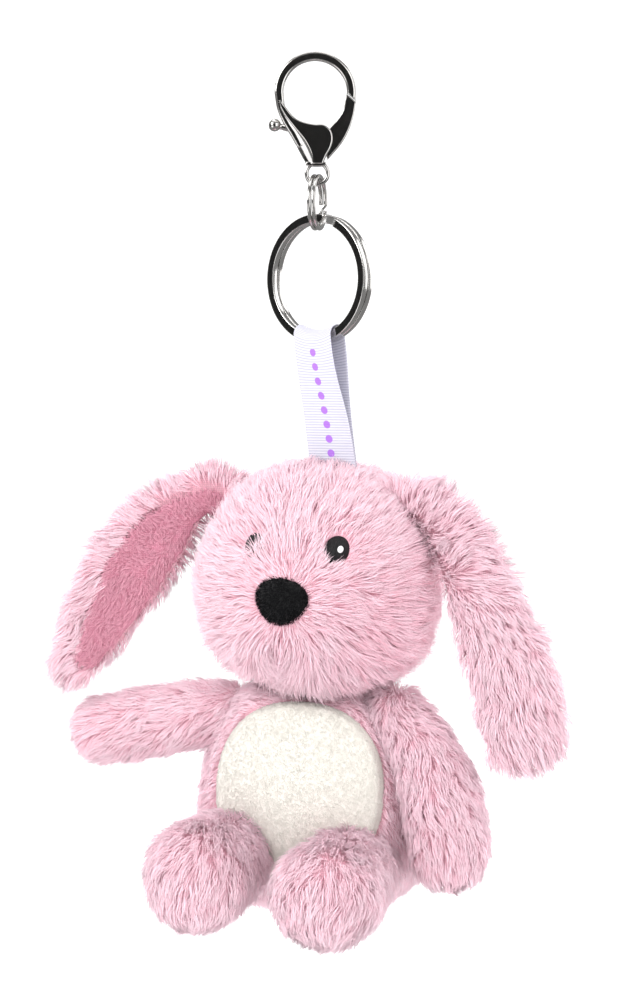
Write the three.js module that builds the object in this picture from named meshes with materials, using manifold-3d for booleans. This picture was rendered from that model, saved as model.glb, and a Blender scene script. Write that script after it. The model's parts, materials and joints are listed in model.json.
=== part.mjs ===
// Plush rabbit keychain: lobster clasp, two split rings, ribbon loop and a jointed soft rabbit.
// Millimetres, +Z up, rabbit facing -Y. The origin is the inside top of the clasp's bow, from which
// the whole object hangs.
import * as THREE from 'three';
import { mergeVertices } from 'three/addons/utils/BufferGeometryUtils.js';
import Module from 'manifold-3d';

const wasm = await Module();
wasm.setup();

// ---- driving dimensions ----
const seatGap = 0.3; // between sewn or seated neighbours
const jointGap = 0.5; // between a limb's round end and the hollow that it turns in
const pinClearance = 0.1; // radial, round the trigger pin

const hardwareYaw = 18; // degrees about Z that the clasp faces away from the rabbit's front
const bowRadius = 7.8; // inside of the clasp's bow
const bowWidth = 2.35;
const bowThickness = 2.8;
const clawThickness = 4.4;
const neckWidth = 4.6;
const eyeRadius = 2.1; // hole for the small ring
const eyeWall = 1.1;
const eyeThickness = 2.0;
const eyeDrop = 27.75; // from the hang point to the centre of the clasp's eye
const pivotX = 1.2;
const pivotDrop = 18.6;
const pinRadius = 0.6;
const hubRadius = 2.2;
const hubThickness = 0.9;
const gateThickness = 2.3;
const gateTipDrop = 10.2; // the gate's outer corner, below the bow's top
const stemRadius = 0.8;
const ballRadius = 1.6;
const ballReach = 11.6; // from the pin to the middle of the thumb ball
const ballAngle = 166; // degrees from +X, at rest
const triggerTravel = 28; // degrees
const springWire = 0.32;
const springTurns = 2.2;

const smallRingRadius = 7.0;
const smallWireWidth = 1.1;
const smallCoilHeight = 0.95;
const smallRingYaw = 94.4;
const largeRingRadius = 16.0;
const largeWireWidth = 2.1;
const largeCoilHeight = 1.65;
const largeRingYaw = -23;
const coilGap = 0.2;
const ringInEye = 0.7; // small ring's wire below the middle of the clasp's eye
const ringSeat = 0.9; // between one ring's wire and the ring that it hangs in

const ribbonWidth = 12.0;
const ribbonThickness = 0.5;
const ribbonHang = 36.8; // from the top of the fold to the seam in the head
const ribbonPinch = 0.5; // half the distance between the strands at the seam
const ribbonSideStep = 4.1; // how far the seam lies to +X of the large ring's centre

const coverThickness = 1.2;
const headRadii = [29.3, 25.0, 26.5];
const headX = 0.3;
const headSink = 1.8; // how far the ribbon's end lies under the crown
const torsoRadii = [28.5, 22.5, 27.5];
const torsoX = -1.2;
const torsoForm = { taper: 0.04, fullness: 0.55 };
const neckRadius = 9.0;
const headY = 1.5; // of the head's middle behind the ribbon
const plushY = 5.5; // of the torso's middle, which brings the centre of mass under the ribbon

const noseSize = [14.4, 5.0, 10.8];
const noseDrop = 4.4; // below the middle of the head
const eyePatchSize = [5.8, 6.8];
const eyePatchRise = 7.7;
const eyePatchSpread = [-11.0, 12.5];
const highlightRadius = 0.75;
const patchThickness = 0.9;
const bellyPatchSize = [46.0, 44.0];
const bellyPatchRise = 3.0; // of the patch's middle over the torso's middle
const mouthSize = [1.2, 6.0];
const mouthDrop = 17.5;

const earRootRadius = 4.4;
const earBackThickness = 3.4;
const earLiningThickness = 1.2;
const earCup = 2.2;
const armRootRadius = 6.2;
const legRootRadius = 9.0;
const footRadius = 11.5;

// Turns from rest, in degrees about the axis through a limb's round end.
const earTurns = { left: [0, 25], right: [-25, 0] };
const armTurns = { left: [-30, 4], right: [-30, 4] };
const legTurns = [-15, 20];
const fillingGap = 7.4; // more room round a joint in the filling than in the cover
const turnStep = 13; // between the places where room is cut for a limb

// ---- places that follow from them ----
const radians = Math.PI / 180;
const smallRingDrop = eyeDrop + ringInEye + smallRingRadius - smallWireWidth / 2;
const smallRingX = 0.5;
const largeRingDrop = smallRingDrop + smallRingRadius - smallWireWidth - ringSeat - largeWireWidth + largeRingRadius;
const largeRingX = 1.0;
const yawed = (x, yaw) => [x * Math.cos(yaw * radians), x * Math.sin(yaw * radians)];
const ringFloor = largeRingDrop + largeRingRadius;
const foldTop = ringFloor - largeWireWidth - 1.3;
const seamDrop = foldTop + ribbonHang;
const largeCentre = yawed(largeRingX, hardwareYaw);
const seamX = largeCentre[0] + ribbonSideStep;
const headTop = seamDrop - headSink;
const headCentre = [headX, headY, -(headTop + headRadii[2])];
const neckPivot = [headX, plushY, headCentre[2] - headRadii[2] - 1.0];
const torsoCentre = [torsoX, plushY, neckPivot[2] - torsoRadii[2] - 0.8];

const alongX = new THREE.Vector3(1, 0, 0);
const alongY = new THREE.Vector3(0, 1, 0);

// ---- materials ----
function material(colour, roughness, metalness) {
  return () => new THREE.MeshStandardMaterial({ color: colour, roughness, metalness });
}
const nickel = material(0xc9c9cc, 0.16, 1.0);
const springSteel = material(0x9fa0a4, 0.35, 1.0);
const grosgrain = material(0xf1f0f6, 0.8, 0.0);
const plush = material(0xf4c9d6, 0.95, 0.0);
const earLining = material(0xe49bb2, 0.9, 0.0);
const bellyCloth = material(0xe9e4da, 0.9, 0.0);
const fibre = material(0xf5f4f2, 1.0, 0.0);
const noseFelt = material(0x141416, 0.95, 0.0);
const blackThread = material(0x17171a, 0.5, 0.0);
const whiteThread = material(0xf6f6f6, 0.5, 0.0);
const pinkThread = material(0xe58fa8, 0.8, 0.0);

// ---- solids ----
function toSolid(geometry) {
  const bare = geometry.clone();
  bare.deleteAttribute('normal');
  bare.deleteAttribute('uv');
  const merged = mergeVertices(bare, 1e-4);
  const vertProperties = new Float32Array(merged.attributes.position.array);
  const triVerts = new Uint32Array(merged.index.array);
  const solid = new wasm.Manifold(new wasm.Mesh({ numProp: 3, vertProperties, triVerts }));
  if (solid.volume() > 0) {
    return solid;
  }
  triVerts.reverse(); // bent the other way round, so its faces are turned to point out
  return new wasm.Manifold(new wasm.Mesh({ numProp: 3, vertProperties, triVerts }));
}

function toGeometry(solid) {
  const mesh = solid.getMesh();
  const geometry = new THREE.BufferGeometry();
  geometry.setAttribute('position', new THREE.BufferAttribute(new Float32Array(mesh.vertProperties), 3));
  geometry.setIndex(new THREE.BufferAttribute(new Uint32Array(mesh.triVerts), 1));
  geometry.computeVertexNormals();
  return geometry;
}

const join = (...solids) => solids.reduce((all, one) => all.add(one));
const cut = (solid, ...cutters) => cutters.reduce((all, one) => all.subtract(one), solid);

const group = new THREE.Group();

function addPiece(name, solid, makeMaterial, parent = group) {
  const mesh = new THREE.Mesh(toGeometry(solid), makeMaterial());
  mesh.name = name;
  parent.add(mesh);
}

// A plate drawn in the XZ plane, its thickness centred on y, with its edges bevelled.
function plate(outline, thickness, y = 0, bevel = 0) {
  const drawn = outline.getPoints(6);
  const corners = drawn.filter((point, i) => point.distanceTo(drawn[(i + 1) % drawn.length]) > 0.02);
  const geometry = new THREE.ExtrudeGeometry(new THREE.Shape(corners), {
    depth: thickness - 2 * bevel,
    bevelEnabled: bevel > 0,
    bevelThickness: bevel,
    bevelSize: bevel,
    bevelOffset: -bevel,
    bevelSegments: 1,
  });
  geometry.rotateX(Math.PI / 2);
  geometry.translate(0, y + thickness / 2 - bevel, 0);
  return toSolid(geometry);
}

function disc(radius, thickness, x, y, z, sides = 16) {
  const geometry = new THREE.CylinderGeometry(radius, radius, thickness, sides);
  geometry.translate(x, y, z);
  return toSolid(geometry);
}

function ball(radius, centre, round = 10, along = 8) {
  const geometry = new THREE.SphereGeometry(radius, round, along);
  geometry.translate(...centre);
  return toSolid(geometry);
}

// A rod bent into shape: place(angle round the rod, 0 to 1 along it, distance from its middle line).
function bentRod(sides, steps, place) {
  const geometry = new THREE.CylinderGeometry(1, 1, 1, sides, steps);
  const points = geometry.attributes.position;
  for (let i = 0; i < points.count; i += 1) {
    const across = points.getX(i);
    const up = points.getZ(i);
    const size = Math.hypot(across, up);
    const spot = place(Math.atan2(up, across), 0.5 - points.getY(i), size > 0.5 ? 1 : 0);
    points.setXYZ(i, ...spot);
  }
  return toSolid(geometry);
}

// ---- lobster clasp ----
const bowCentreZ = -bowRadius;
const outerRadius = bowRadius + bowWidth;
const pivot = [pivotX, -pivotDrop];
const tipReach = Math.hypot(outerRadius - pivotX, pivotDrop - gateTipDrop);

function bowOutline() {
  const shape = new THREE.Shape();
  const start = -20 * radians;
  const end = 212 * radians;
  shape.absarc(0, bowCentreZ, outerRadius, start, end, false);
  shape.absarc(0, bowCentreZ, bowRadius, end, start, true);
  return shape;
}

// The room that the gate's tip swings through, which trims the bow's free end to an arc about the pin.
function tipSweep() {
  const reach = tipReach + seatGap;
  const start = 15 * radians;
  const end = 82 * radians;
  const shape = new THREE.Shape();
  shape.moveTo(...pivot);
  shape.lineTo(pivot[0] + reach * Math.cos(start), pivot[1] + reach * Math.sin(start));
  shape.absarc(...pivot, reach, start, end, false);
  return plate(shape, clawThickness + bowThickness);
}

function clawOutline() {
  const neck = neckWidth / 2;
  const eyeTop = -eyeDrop + eyeRadius;
  const left = 203 * radians;
  const right = -66 * radians;
  const shape = new THREE.Shape();
  shape.moveTo(outerRadius * Math.cos(left), bowCentreZ + outerRadius * Math.sin(left));
  shape.splineThru([
    new THREE.Vector2(-7.9, -14.4),
    new THREE.Vector2(-5.2, -19.5),
    new THREE.Vector2(-neck + smallRingX, eyeTop + 1.0),
  ]);
  shape.lineTo(-neck + smallRingX, eyeTop - 1.2);
  shape.lineTo(neck + smallRingX, eyeTop - 1.2);
  shape.lineTo(neck + smallRingX, eyeTop + 0.6);
  shape.splineThru([
    new THREE.Vector2(pivot[0] + 3.3, pivot[1] - 1.9),
    new THREE.Vector2(pivot[0] + 3.6, pivot[1] + 0.5),
    new THREE.Vector2(bowRadius * Math.cos(right), bowCentreZ + bowRadius * Math.sin(right)),
  ]);
  shape.absarc(0, bowCentreZ, bowRadius, right, left, true);
  return shape;
}

// The slot between the claw's cheeks, which the trigger sweeps through.
function triggerSlot() {
  const reach = stemRadius + seatGap;
  const far = ballReach + ballRadius;
  const closed = new THREE.Vector2(Math.cos(ballAngle * radians), Math.sin(ballAngle * radians));
  const opened = closed.clone().rotateAround(new THREE.Vector2(), triggerTravel * radians);
  const above = new THREE.Vector2(closed.y, -closed.x).multiplyScalar(reach);
  const below = new THREE.Vector2(-opened.y, opened.x).multiplyScalar(reach);
  const middle = new THREE.Vector2(...pivot);
  const stem = new THREE.Shape([
    middle.clone().add(above),
    middle.clone().add(below),
    middle.clone().add(below).addScaledVector(opened, far),
    middle.clone().add(above).addScaledVector(closed, far),
  ]);
  const gate = new THREE.Shape();
  gate.moveTo(...pivot);
  gate.absarc(...pivot, 8.5, -62 * radians, 108 * radians, false);
  const width = gateThickness + 2 * seatGap * 0.7;
  const hub = disc(hubRadius + seatGap, width, pivot[0], 0, pivot[1]);
  return join(plate(stem, width), plate(gate, width), hub);
}

function claspBody() {
  const eyeX = smallRingX;
  const back = clawThickness / 2;
  const rim = disc(eyeRadius + eyeWall, eyeThickness, eyeX, 0, -eyeDrop, 24);
  const hole = disc(eyeRadius, clawThickness + 2, eyeX, 0, -eyeDrop, 24);
  const bore = disc(pinRadius + pinClearance, clawThickness, pivot[0], back - clawThickness / 2 + 0.35, pivot[1], 16);
  const bow = cut(plate(bowOutline(), bowThickness, 0, 0.45), tipSweep());
  return cut(join(bow, plate(clawOutline(), clawThickness), rim), triggerSlot(), hole, bore);
}

function triggerLever() {
  const gate = new THREE.Shape();
  const outer = Math.atan2(pivotDrop - gateTipDrop, outerRadius - pivotX);
  const inner = Math.acos((bowRadius - pivotX) / tipReach);
  const innerTip = new THREE.Vector2(tipReach * Math.cos(inner), tipReach * Math.sin(inner));
  innerTip.add(new THREE.Vector2(...pivot));
  gate.moveTo(innerTip.x, innerTip.y);
  gate.absarc(...pivot, tipReach, inner, outer, true);
  gate.splineThru([
    new THREE.Vector2(8.6, -14.6),
    new THREE.Vector2(6.7, -18.4),
    new THREE.Vector2(4.9, -20.9),
  ]);
  gate.lineTo(pivot[0] + hubRadius * 0.7, pivot[1] - hubRadius * 0.6);
  gate.lineTo(pivot[0] + hubRadius * 0.3, pivot[1] + hubRadius * 0.9);
  gate.splineThru([new THREE.Vector2(4.3, -15.9), new THREE.Vector2(6.5, -13.0), innerTip]);
  const hubY = gateThickness / 2 - hubThickness / 2;
  const springRoom = disc(hubRadius + 0.1, gateThickness - hubThickness, pivot[0], -hubThickness / 2 - 0.01, pivot[1]);
  const bore = disc(pinRadius + pinClearance, 2 * clawThickness, pivot[0], 0, pivot[1], 16);
  const stem = new THREE.CylinderGeometry(stemRadius, stemRadius, ballReach, 10);
  stem.rotateZ(-Math.PI / 2);
  stem.translate(ballReach / 2, 0, 0);
  stem.rotateY(-ballAngle * radians);
  stem.translate(pivot[0], 0, pivot[1]);
  const end = [
    pivot[0] + ballReach * Math.cos(ballAngle * radians),
    0,
    pivot[1] + ballReach * Math.sin(ballAngle * radians),
  ];
  const hub = disc(hubRadius, hubThickness, pivot[0], hubY, pivot[1]);
  const arm = cut(join(plate(gate, gateThickness), toSolid(stem)), springRoom);
  return cut(join(arm, hub, ball(ballRadius, end)), bore);
}

function triggerSpring() {
  const coil = pinRadius + pinClearance + springWire / 2 + 0.1;
  const front = -gateThickness / 2 + springWire / 2 + 0.05;
  const back = gateThickness / 2 - hubThickness - springWire / 2 - 0.1;
  return bentRod(5, 26, (angle, along, size) => {
    const turn = along * springTurns * 2 * Math.PI;
    const radius = coil + (size * springWire * Math.cos(angle)) / 2;
    const y = front + (back - front) * along + (size * springWire * Math.sin(angle)) / 2;
    return [pivot[0] + radius * Math.cos(turn), y, pivot[1] + radius * Math.sin(turn)];
  });
}

function addClasp() {
  const clasp = new THREE.Group();
  clasp.rotation.z = hardwareYaw * radians;
  const pinLength = clawThickness - 0.4;
  const pin = disc(pinRadius, pinLength, pivot[0], clawThickness / 2 - pinLength / 2, pivot[1], 16);
  addPiece('clasp_body', claspBody(), nickel, clasp);
  addPiece('trigger_lever', triggerLever(), nickel, clasp);
  addPiece('trigger_pin', pin, springSteel, clasp);
  addPiece('trigger_spring', triggerSpring(), springSteel, clasp);
  group.add(clasp);
}

// ---- split rings: two flat turns, joined by a step where the ends meet ----
function splitRing(radius, width, height, sides, steps, roundness) {
  const stepArc = 22 * radians;
  const endArc = 14 * radians;
  const stepAt = 2 * Math.PI;
  const level = (height + coilGap) / 2;
  return bentRod(sides, steps, (angle, along, size) => {
    const turn = endArc + along * (4 * Math.PI - 2 * endArc);
    const rise = THREE.MathUtils.smoothstep(turn, stepAt - stepArc / 2, stepAt + stepArc / 2);
    const across = Math.sign(Math.cos(angle)) * Math.abs(Math.cos(angle)) ** roundness;
    const depth = Math.sign(Math.sin(angle)) * Math.abs(Math.sin(angle)) ** roundness;
    const reach = radius - width / 2 + (size * across * width) / 2;
    const y = level * (2 * rise - 1) + (size * depth * height) / 2;
    return [reach * Math.sin(turn), y, reach * Math.cos(turn)];
  });
}

function addRing(name, solid, x, drop, yaw, stepTurn) {
  const ring = new THREE.Group();
  const turned = new THREE.Group();
  ring.position.set(...yawed(x, hardwareYaw), -drop);
  ring.rotation.z = yaw * radians;
  turned.rotation.y = stepTurn * radians;
  addPiece(name, solid, nickel, turned);
  ring.add(turned);
  group.add(ring);
}

function addRings() {
  const small = splitRing(smallRingRadius, smallWireWidth, smallCoilHeight, 6, 36, 0.75);
  const large = splitRing(largeRingRadius, largeWireWidth, largeCoilHeight, 8, 48, 0.5);
  addRing('small_split_ring', small, smallRingX, smallRingDrop, smallRingYaw, 100);
  addRing('large_split_ring', large, largeRingX, largeRingDrop, largeRingYaw, 40);
}

// ---- ribbon: one strip folded over the large ring, its two ends caught in the head's seam ----
function ribbonLoop() {
  const steps = 34;
  const foldHalf = largeCoilHeight + coilGap / 2 + 0.7 + ribbonThickness / 2;
  const foldRise = 2.4;
  const foldBase = foldTop + foldRise + ribbonThickness / 2;
  const strand = seamDrop - foldBase;
  const foldPart = 0.16;
  const curve = largeRingRadius - largeWireWidth - 0.7;
  const geometry = new THREE.BoxGeometry(1, 1, 1, 4, 1, steps);
  const points = geometry.attributes.position;
  for (let i = 0; i < points.count; i += 1) {
    const across = points.getX(i) * ribbonWidth;
    const outward = points.getY(i) * ribbonThickness;
    const along = -points.getZ(i) * 2; // -1 is the front end, 0 the top of the fold, 1 the back end
    const side = Math.sign(along);
    const past = Math.abs(along);
    let middle;
    let normal;
    let z;
    let down = 0;
    if (past < foldPart) {
      const turn = (past / foldPart) * (Math.PI / 2);
      middle = side * foldHalf * Math.sin(turn);
      z = -foldBase + foldRise * Math.cos(turn);
      normal = [side * Math.sin(turn), Math.cos(turn)];
    } else {
      down = (past - foldPart) / (1 - foldPart);
      const pinch = THREE.MathUtils.smoothstep(down, 0, 0.9);
      middle = side * (foldHalf + (ribbonPinch - foldHalf) * pinch);
      z = -foldBase - strand * down;
      normal = [side, 0];
    }
    const lift = (curve - Math.sqrt(curve ** 2 - across ** 2)) * Math.max(0, 1 - down * 3);
    const yaw = largeRingYaw * (1 - THREE.MathUtils.smoothstep(down, 0.05, 0.95)) * radians;
    const depth = middle + normal[0] * outward;
    const x = largeCentre[0] + (seamX - largeCentre[0]) * down;
    const y = largeCentre[1] * (1 - down);
    points.setXYZ(
      i,
      x + across * Math.cos(yaw) - depth * Math.sin(yaw),
      y + across * Math.sin(yaw) + depth * Math.cos(yaw),
      z + lift + normal[1] * outward,
    );
  }
  return toSolid(geometry);
}

// ---- soft parts ----
// An egg: radii less inset, the lower half wider by taper, sides fuller as fullness drops under 1.
function egg(centre, radii, inset = 0, { taper = 0, fullness = 1, round = 18, along = 10 } = {}) {
  const geometry = new THREE.SphereGeometry(1, round, along);
  geometry.rotateX(Math.PI / 2);
  const points = geometry.attributes.position;
  for (let i = 0; i < points.count; i += 1) {
    const z = points.getZ(i);
    const level = Math.hypot(points.getX(i), points.getY(i));
    const swell = (level > 1e-6 ? level ** (fullness - 1) : 1) * (1 - taper * z);
    points.setXYZ(
      i,
      centre[0] + points.getX(i) * swell * (radii[0] - inset),
      centre[1] + points.getY(i) * swell * (radii[1] - inset),
      centre[2] + z * (radii[2] - inset),
    );
  }
  return toSolid(geometry);
}

// A limb: a round end on its pivot, then sections given by widths and depths along its path, then a
// rounded tip. Sections: [share of the path, half width, half depth].
function limbGeometry({ path, across, sections, tip, inset = 0, round = 10, along = 12, section }) {
  const curve = new THREE.CatmullRomCurve3(path.map((point) => new THREE.Vector3(...point)));
  const widths = sections.map(([share, width, depth]) => new THREE.Vector3(share, width, depth));
  const capShare = 0.2;
  const measure = (share) => {
    const next = Math.max(1, widths.findIndex((entry) => entry.x >= share));
    const [a, b] = [widths[next - 1], widths[next]];
    const blend = THREE.MathUtils.smoothstep(share, a.x, b.x);
    return [THREE.MathUtils.lerp(a.y, b.y, blend), THREE.MathUtils.lerp(a.z, b.z, blend)];
  };
  const root = widths[0].y;
  return bentRodCapped(round, along, (angle, share, size) => {
    let reach = 0;
    let squeeze = 1;
    let place = 0;
    if (share < capShare) {
      const turn = (share / capShare) * (Math.PI / 2);
      reach = -(root - inset) * Math.cos(turn);
      squeeze = Math.sin(turn);
    } else if (share > 1 - capShare) {
      const turn = ((1 - share) / capShare) * (Math.PI / 2);
      place = 1;
      reach = (tip - inset) * Math.cos(turn);
      squeeze = Math.sin(turn) ** 0.8;
    } else {
      place = (share - capShare) / (1 - 2 * capShare);
    }
    const [width, depth] = measure(place);
    const forward = curve.getTangentAt(place);
    const side = new THREE.Vector3(...across).addScaledVector(forward, -forward.dot(new THREE.Vector3(...across)));
    side.normalize();
    const face = new THREE.Vector3().crossVectors(forward, side);
    const centre = curve.getPointAt(place).addScaledVector(forward, reach);
    const [u, v] = (section || roundSection)(angle, (width - inset) * squeeze * size, (depth - inset) * squeeze * size);
    return centre.addScaledVector(side, u).addScaledVector(face, v).toArray();
  });
}

function roundSection(angle, width, depth) {
  return [width * Math.cos(angle), depth * Math.sin(angle)];
}

// A rod whose two ends close to a point, as a sphere's poles do.
function bentRodCapped(round, along, place) {
  const geometry = new THREE.SphereGeometry(1, round, along);
  const points = geometry.attributes.position;
  for (let i = 0; i < points.count; i += 1) {
    const y = THREE.MathUtils.clamp(points.getY(i), -1, 1);
    const share = Math.acos(y) / Math.PI;
    const atPole = share < 1e-6 || share > 1 - 1e-6;
    const angle = Math.atan2(points.getZ(i), points.getX(i));
    points.setXYZ(i, ...place(angle, share, atPole ? 0 : 1));
  }
  return geometry;
}

const limb = (shape) => toSolid(limbGeometry(shape));

// The room that a limb sweeps through as it turns about its round end.
function roomFor(shape, axis, [from, to]) {
  const stops = Math.ceil((to - from) / turnStep);
  const rooms = [];
  for (let stop = 0; stop <= stops; stop += 1) {
    const geometry = limbGeometry({ ...shape, inset: -jointGap - 0.2, along: 10 });
    const turn = new THREE.Quaternion().setFromAxisAngle(axis, (from + ((to - from) * stop) / stops) * radians);
    const start = new THREE.Vector3(...shape.path[0]);
    geometry.translate(...start.clone().negate().toArray());
    geometry.applyQuaternion(turn);
    geometry.translate(...start.toArray());
    rooms.push(toSolid(geometry));
  }
  return join(...rooms);
}

const head = (inset) => egg(headCentre, headRadii, inset);
const torso = (inset) => egg(torsoCentre, torsoRadii, inset, torsoForm);
const socket = (radius, centre) => ball(radius + jointGap, centre, 12, 8);

// A point under an egg's skin: azimuth from its front (-Y) towards +X, share of its height, depth.
function underSkin(centre, radii, { taper = 0, fullness = 1 }, azimuth, share, sink) {
  const level = Math.sqrt(1 - share ** 2) ** fullness * (1 - taper * share);
  return [
    centre[0] + Math.sin(azimuth * radians) * level * (radii[0] - sink),
    centre[1] - Math.cos(azimuth * radians) * level * (radii[1] - sink),
    centre[2] + share * (radii[2] - sink),
  ];
}
const onHead = (...spot) => underSkin(headCentre, headRadii, {}, ...spot);
const onTorso = (...spot) => underSkin(torsoCentre, torsoRadii, torsoForm, ...spot);
const pathFrom = (start, offsets) => [[0, 0, 0], ...offsets].map((step) => step.map((size, i) => start[i] + size));

const ears = {
  left: {
    path: pathFrom(onHead(-86, 0.745, 1.5), [
      [-10.6, -1.5, 2.6], [-21, -3.5, -6.3], [-31.2, -5.5, -19.8], [-39.5, -6.5, -33.3], [-43.6, -7.5, -40.8],
    ]),
    across: [0.8, 0.1, -0.6],
    widths: [5.4, 9.2, 10.4, 8.6, 5.6],
    tip: 6,
    cupTo: 1,
  },
  right: {
    path: pathFrom(onHead(86, 0.75, 1.2), [
      [11.2, -1.5, -1.3], [19.2, -3, -11], [24.7, -4, -23], [31.2, -5, -38.5], [36, -6.5, -56.5],
    ]),
    across: [0.9, 0, 0.4],
    widths: [5.6, 7.6, 8.8, 10.8, 10.4],
    tip: 7,
    cupTo: -1,
  },
};
const arms = {
  left: {
    path: pathFrom(onTorso(-82, 0.78, 1.5), [[-10, -1, -0.8], [-22, -2, -3], [-35, -3, -5.4]]),
    across: [0, 0, 1],
    sections: [[0, armRootRadius, armRootRadius], [0.35, 7.2, 6.4], [1, 7.4, 6.2]],
    tip: 7.6,
  },
  right: {
    path: pathFrom(onTorso(75, 0.77, -1), [[9, -5, -8.5], [14.5, -7.5, -20], [16.5, -8.5, -31.5]]),
    across: [0.77, 0.64, 0],
    sections: [[0, armRootRadius, armRootRadius], [0.3, 7.6, 5.6], [0.7, 9.4, 5.4], [1, 9.2, 5.4]],
    tip: 8.6,
  },
};
const legs = {
  left: {
    path: pathFrom(onTorso(-46, -0.55, 5), [[-1.5, -15, -1.5], [-2.2, -28.5, -2.8]]),
    across: [1, 0, 0],
    sections: [[0, legRootRadius, legRootRadius], [0.6, 10.6, 10.6], [1, footRadius, footRadius + 0.6]],
    tip: 8.5,
  },
  right: {
    path: pathFrom(onTorso(44, -0.66, 5), [[0.4, -15, -1.7], [0.6, -28.5, -3.2]]),
    across: [1, 0, 0],
    sections: [[0, legRootRadius, legRootRadius], [0.6, 10.8, 10.6], [1, footRadius + 0.5, footRadius]],
    tip: 8.5,
  },
};
const sides = ['left', 'right'];
const armAxis = { left: alongY, right: alongX };

// The layer that lies between two distances off a skin.
const layer = (skin, near, far) => cut(skin(-far), skin(-near));

function ovalAlongY(width, height, x, z, depth = 60) {
  const geometry = new THREE.CylinderGeometry(1, 1, depth, 16);
  geometry.scale(width / 2, 1, height / 2);
  geometry.translate(x, -depth / 2, z);
  return toSolid(geometry);
}

function addHead() {
  const sockets = [socket(neckRadius, neckPivot)];
  const rooms = [];
  for (const side of sides) {
    sockets.push(socket(earRootRadius + fillingGap, ears[side].path[0]));
    rooms.push(socket(earRootRadius, ears[side].path[0]), earRoom(side));
  }
  const mouthOfSeam = new THREE.BoxGeometry(ribbonWidth + 1.6, 5.0, 10);
  mouthOfSeam.translate(seamX, 0, -seamDrop - 0.9 + 5);
  const seam = toSolid(mouthOfSeam);
  addPiece('head_cover', cut(head(0), head(coverThickness), seam, sockets[0], ...rooms), plush);
  addPiece('head_stuffing', cut(head(coverThickness + seatGap), seam, ...sockets), fibre);
}

function addFace() {
  const near = seatGap;
  const far = seatGap + patchThickness;
  const eyeZ = headCentre[2] + eyePatchRise;
  sides.forEach((side, index) => {
    const x = headX + eyePatchSpread[index];
    const oval = ovalAlongY(...eyePatchSize, x, eyeZ);
    addPiece(`eye_${side}`, layer(head, near, far).intersect(oval), blackThread);
    const dot = ovalAlongY(2 * highlightRadius, 2 * highlightRadius, x + 0.9, eyeZ + 1.1);
    const raised = layer(head, far + seatGap, far + 2 * seatGap);
    addPiece(`eye_${side}_highlight`, raised.intersect(dot), whiteThread);
  });
  addPiece('nose_pad', nosePad(), noseFelt);
  const mouth = ovalAlongY(...mouthSize, headX, headCentre[2] - mouthDrop);
  addPiece('mouth_stitch', layer(head, near, far).intersect(mouth), pinkThread);
}

// A cushion with a broad top and a narrow rounded foot, cut to sit on the face.
function nosePad() {
  const geometry = new THREE.SphereGeometry(1, 16, 10);
  const points = geometry.attributes.position;
  const noseZ = headCentre[2] - noseDrop;
  const noseY = headCentre[1] - headRadii[1];
  for (let i = 0; i < points.count; i += 1) {
    const z = points.getZ(i);
    const narrow = 0.8 + 0.2 * z;
    points.setXYZ(
      i,
      headX + (points.getX(i) * narrow * noseSize[0]) / 2 / 0.92,
      noseY + points.getY(i) * noseSize[1] * 0.6,
      noseZ + (z * noseSize[2]) / 2,
    );
  }
  return cut(toSolid(geometry), head(-seatGap));
}

// An ear's outline: its round root, then its half widths along the way to the tip.
function earShape(ear, thickness, narrower = 0) {
  const last = ear.widths.length;
  const sections = ear.widths.map((width, index) => [(index + 1) / last, width - narrower, thickness]);
  return { ...ear, sections: [[0, earRootRadius - narrower, thickness], ...sections], tip: ear.tip - narrower };
}

// The ear's two cloths share one curve: each is flat where they meet and bends towards the lining.
function earCloth(ear, from, thickness, narrower) {
  return limb({
    ...earShape(ear, thickness, narrower),
    round: 10,
    along: 14,
    section: (angle, width, depth) => {
      const u = width * Math.cos(angle);
      const rise = Math.max(0, Math.sin(angle)) * depth;
      const bend = earCup * (u / 10) ** 2;
      return [u, -ear.cupTo * (from * rise + (from > 0 ? 0 : -seatGap) - bend)];
    },
  });
}

function earRoom(side) {
  const full = { ...earShape(ears[side], earBackThickness + 0.4), round: 8 };
  return roomFor(full, alongY, earTurns[side]);
}

function addEar(side) {
  const ear = ears[side];
  const rootBall = ball(earRootRadius, ear.path[0]);
  const clear = ball(earRootRadius + seatGap, ear.path[0]);
  addPiece(`ear_${side}_back`, join(earCloth(ear, 1, earBackThickness, 0), rootBall), plush);
  addPiece(`ear_${side}_lining`, cut(earCloth(ear, -1, earLiningThickness, 1.6), clear), earLining);
}

function addTorso() {
  const sockets = [];
  const rooms = [];
  for (const side of sides) {
    sockets.push(socket(armRootRadius + fillingGap, arms[side].path[0]));
    sockets.push(socket(legRootRadius + fillingGap, legs[side].path[0]));
    rooms.push(roomFor(arms[side], armAxis[side], armTurns[side]), roomFor(legs[side], alongX, legTurns));
  }
  const neckBall = (inset) => ball(neckRadius - inset, neckPivot, 12, 8);
  const outside = join(torso(0), neckBall(0));
  const inside = join(torso(coverThickness), neckBall(coverThickness));
  const filling = join(torso(coverThickness + seatGap), neckBall(coverThickness + seatGap));
  addPiece('torso_cover', cut(outside, inside, ...rooms), plush);
  addPiece('torso_stuffing', cut(filling, ...sockets), fibre);
  const patch = ovalAlongY(...bellyPatchSize, torsoX, torsoCentre[2] + bellyPatchRise);
  const cloth = layer(torso, seatGap, seatGap + patchThickness).intersect(patch);
  addPiece('belly_patch', cut(cloth, ...rooms), bellyCloth);
}

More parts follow.
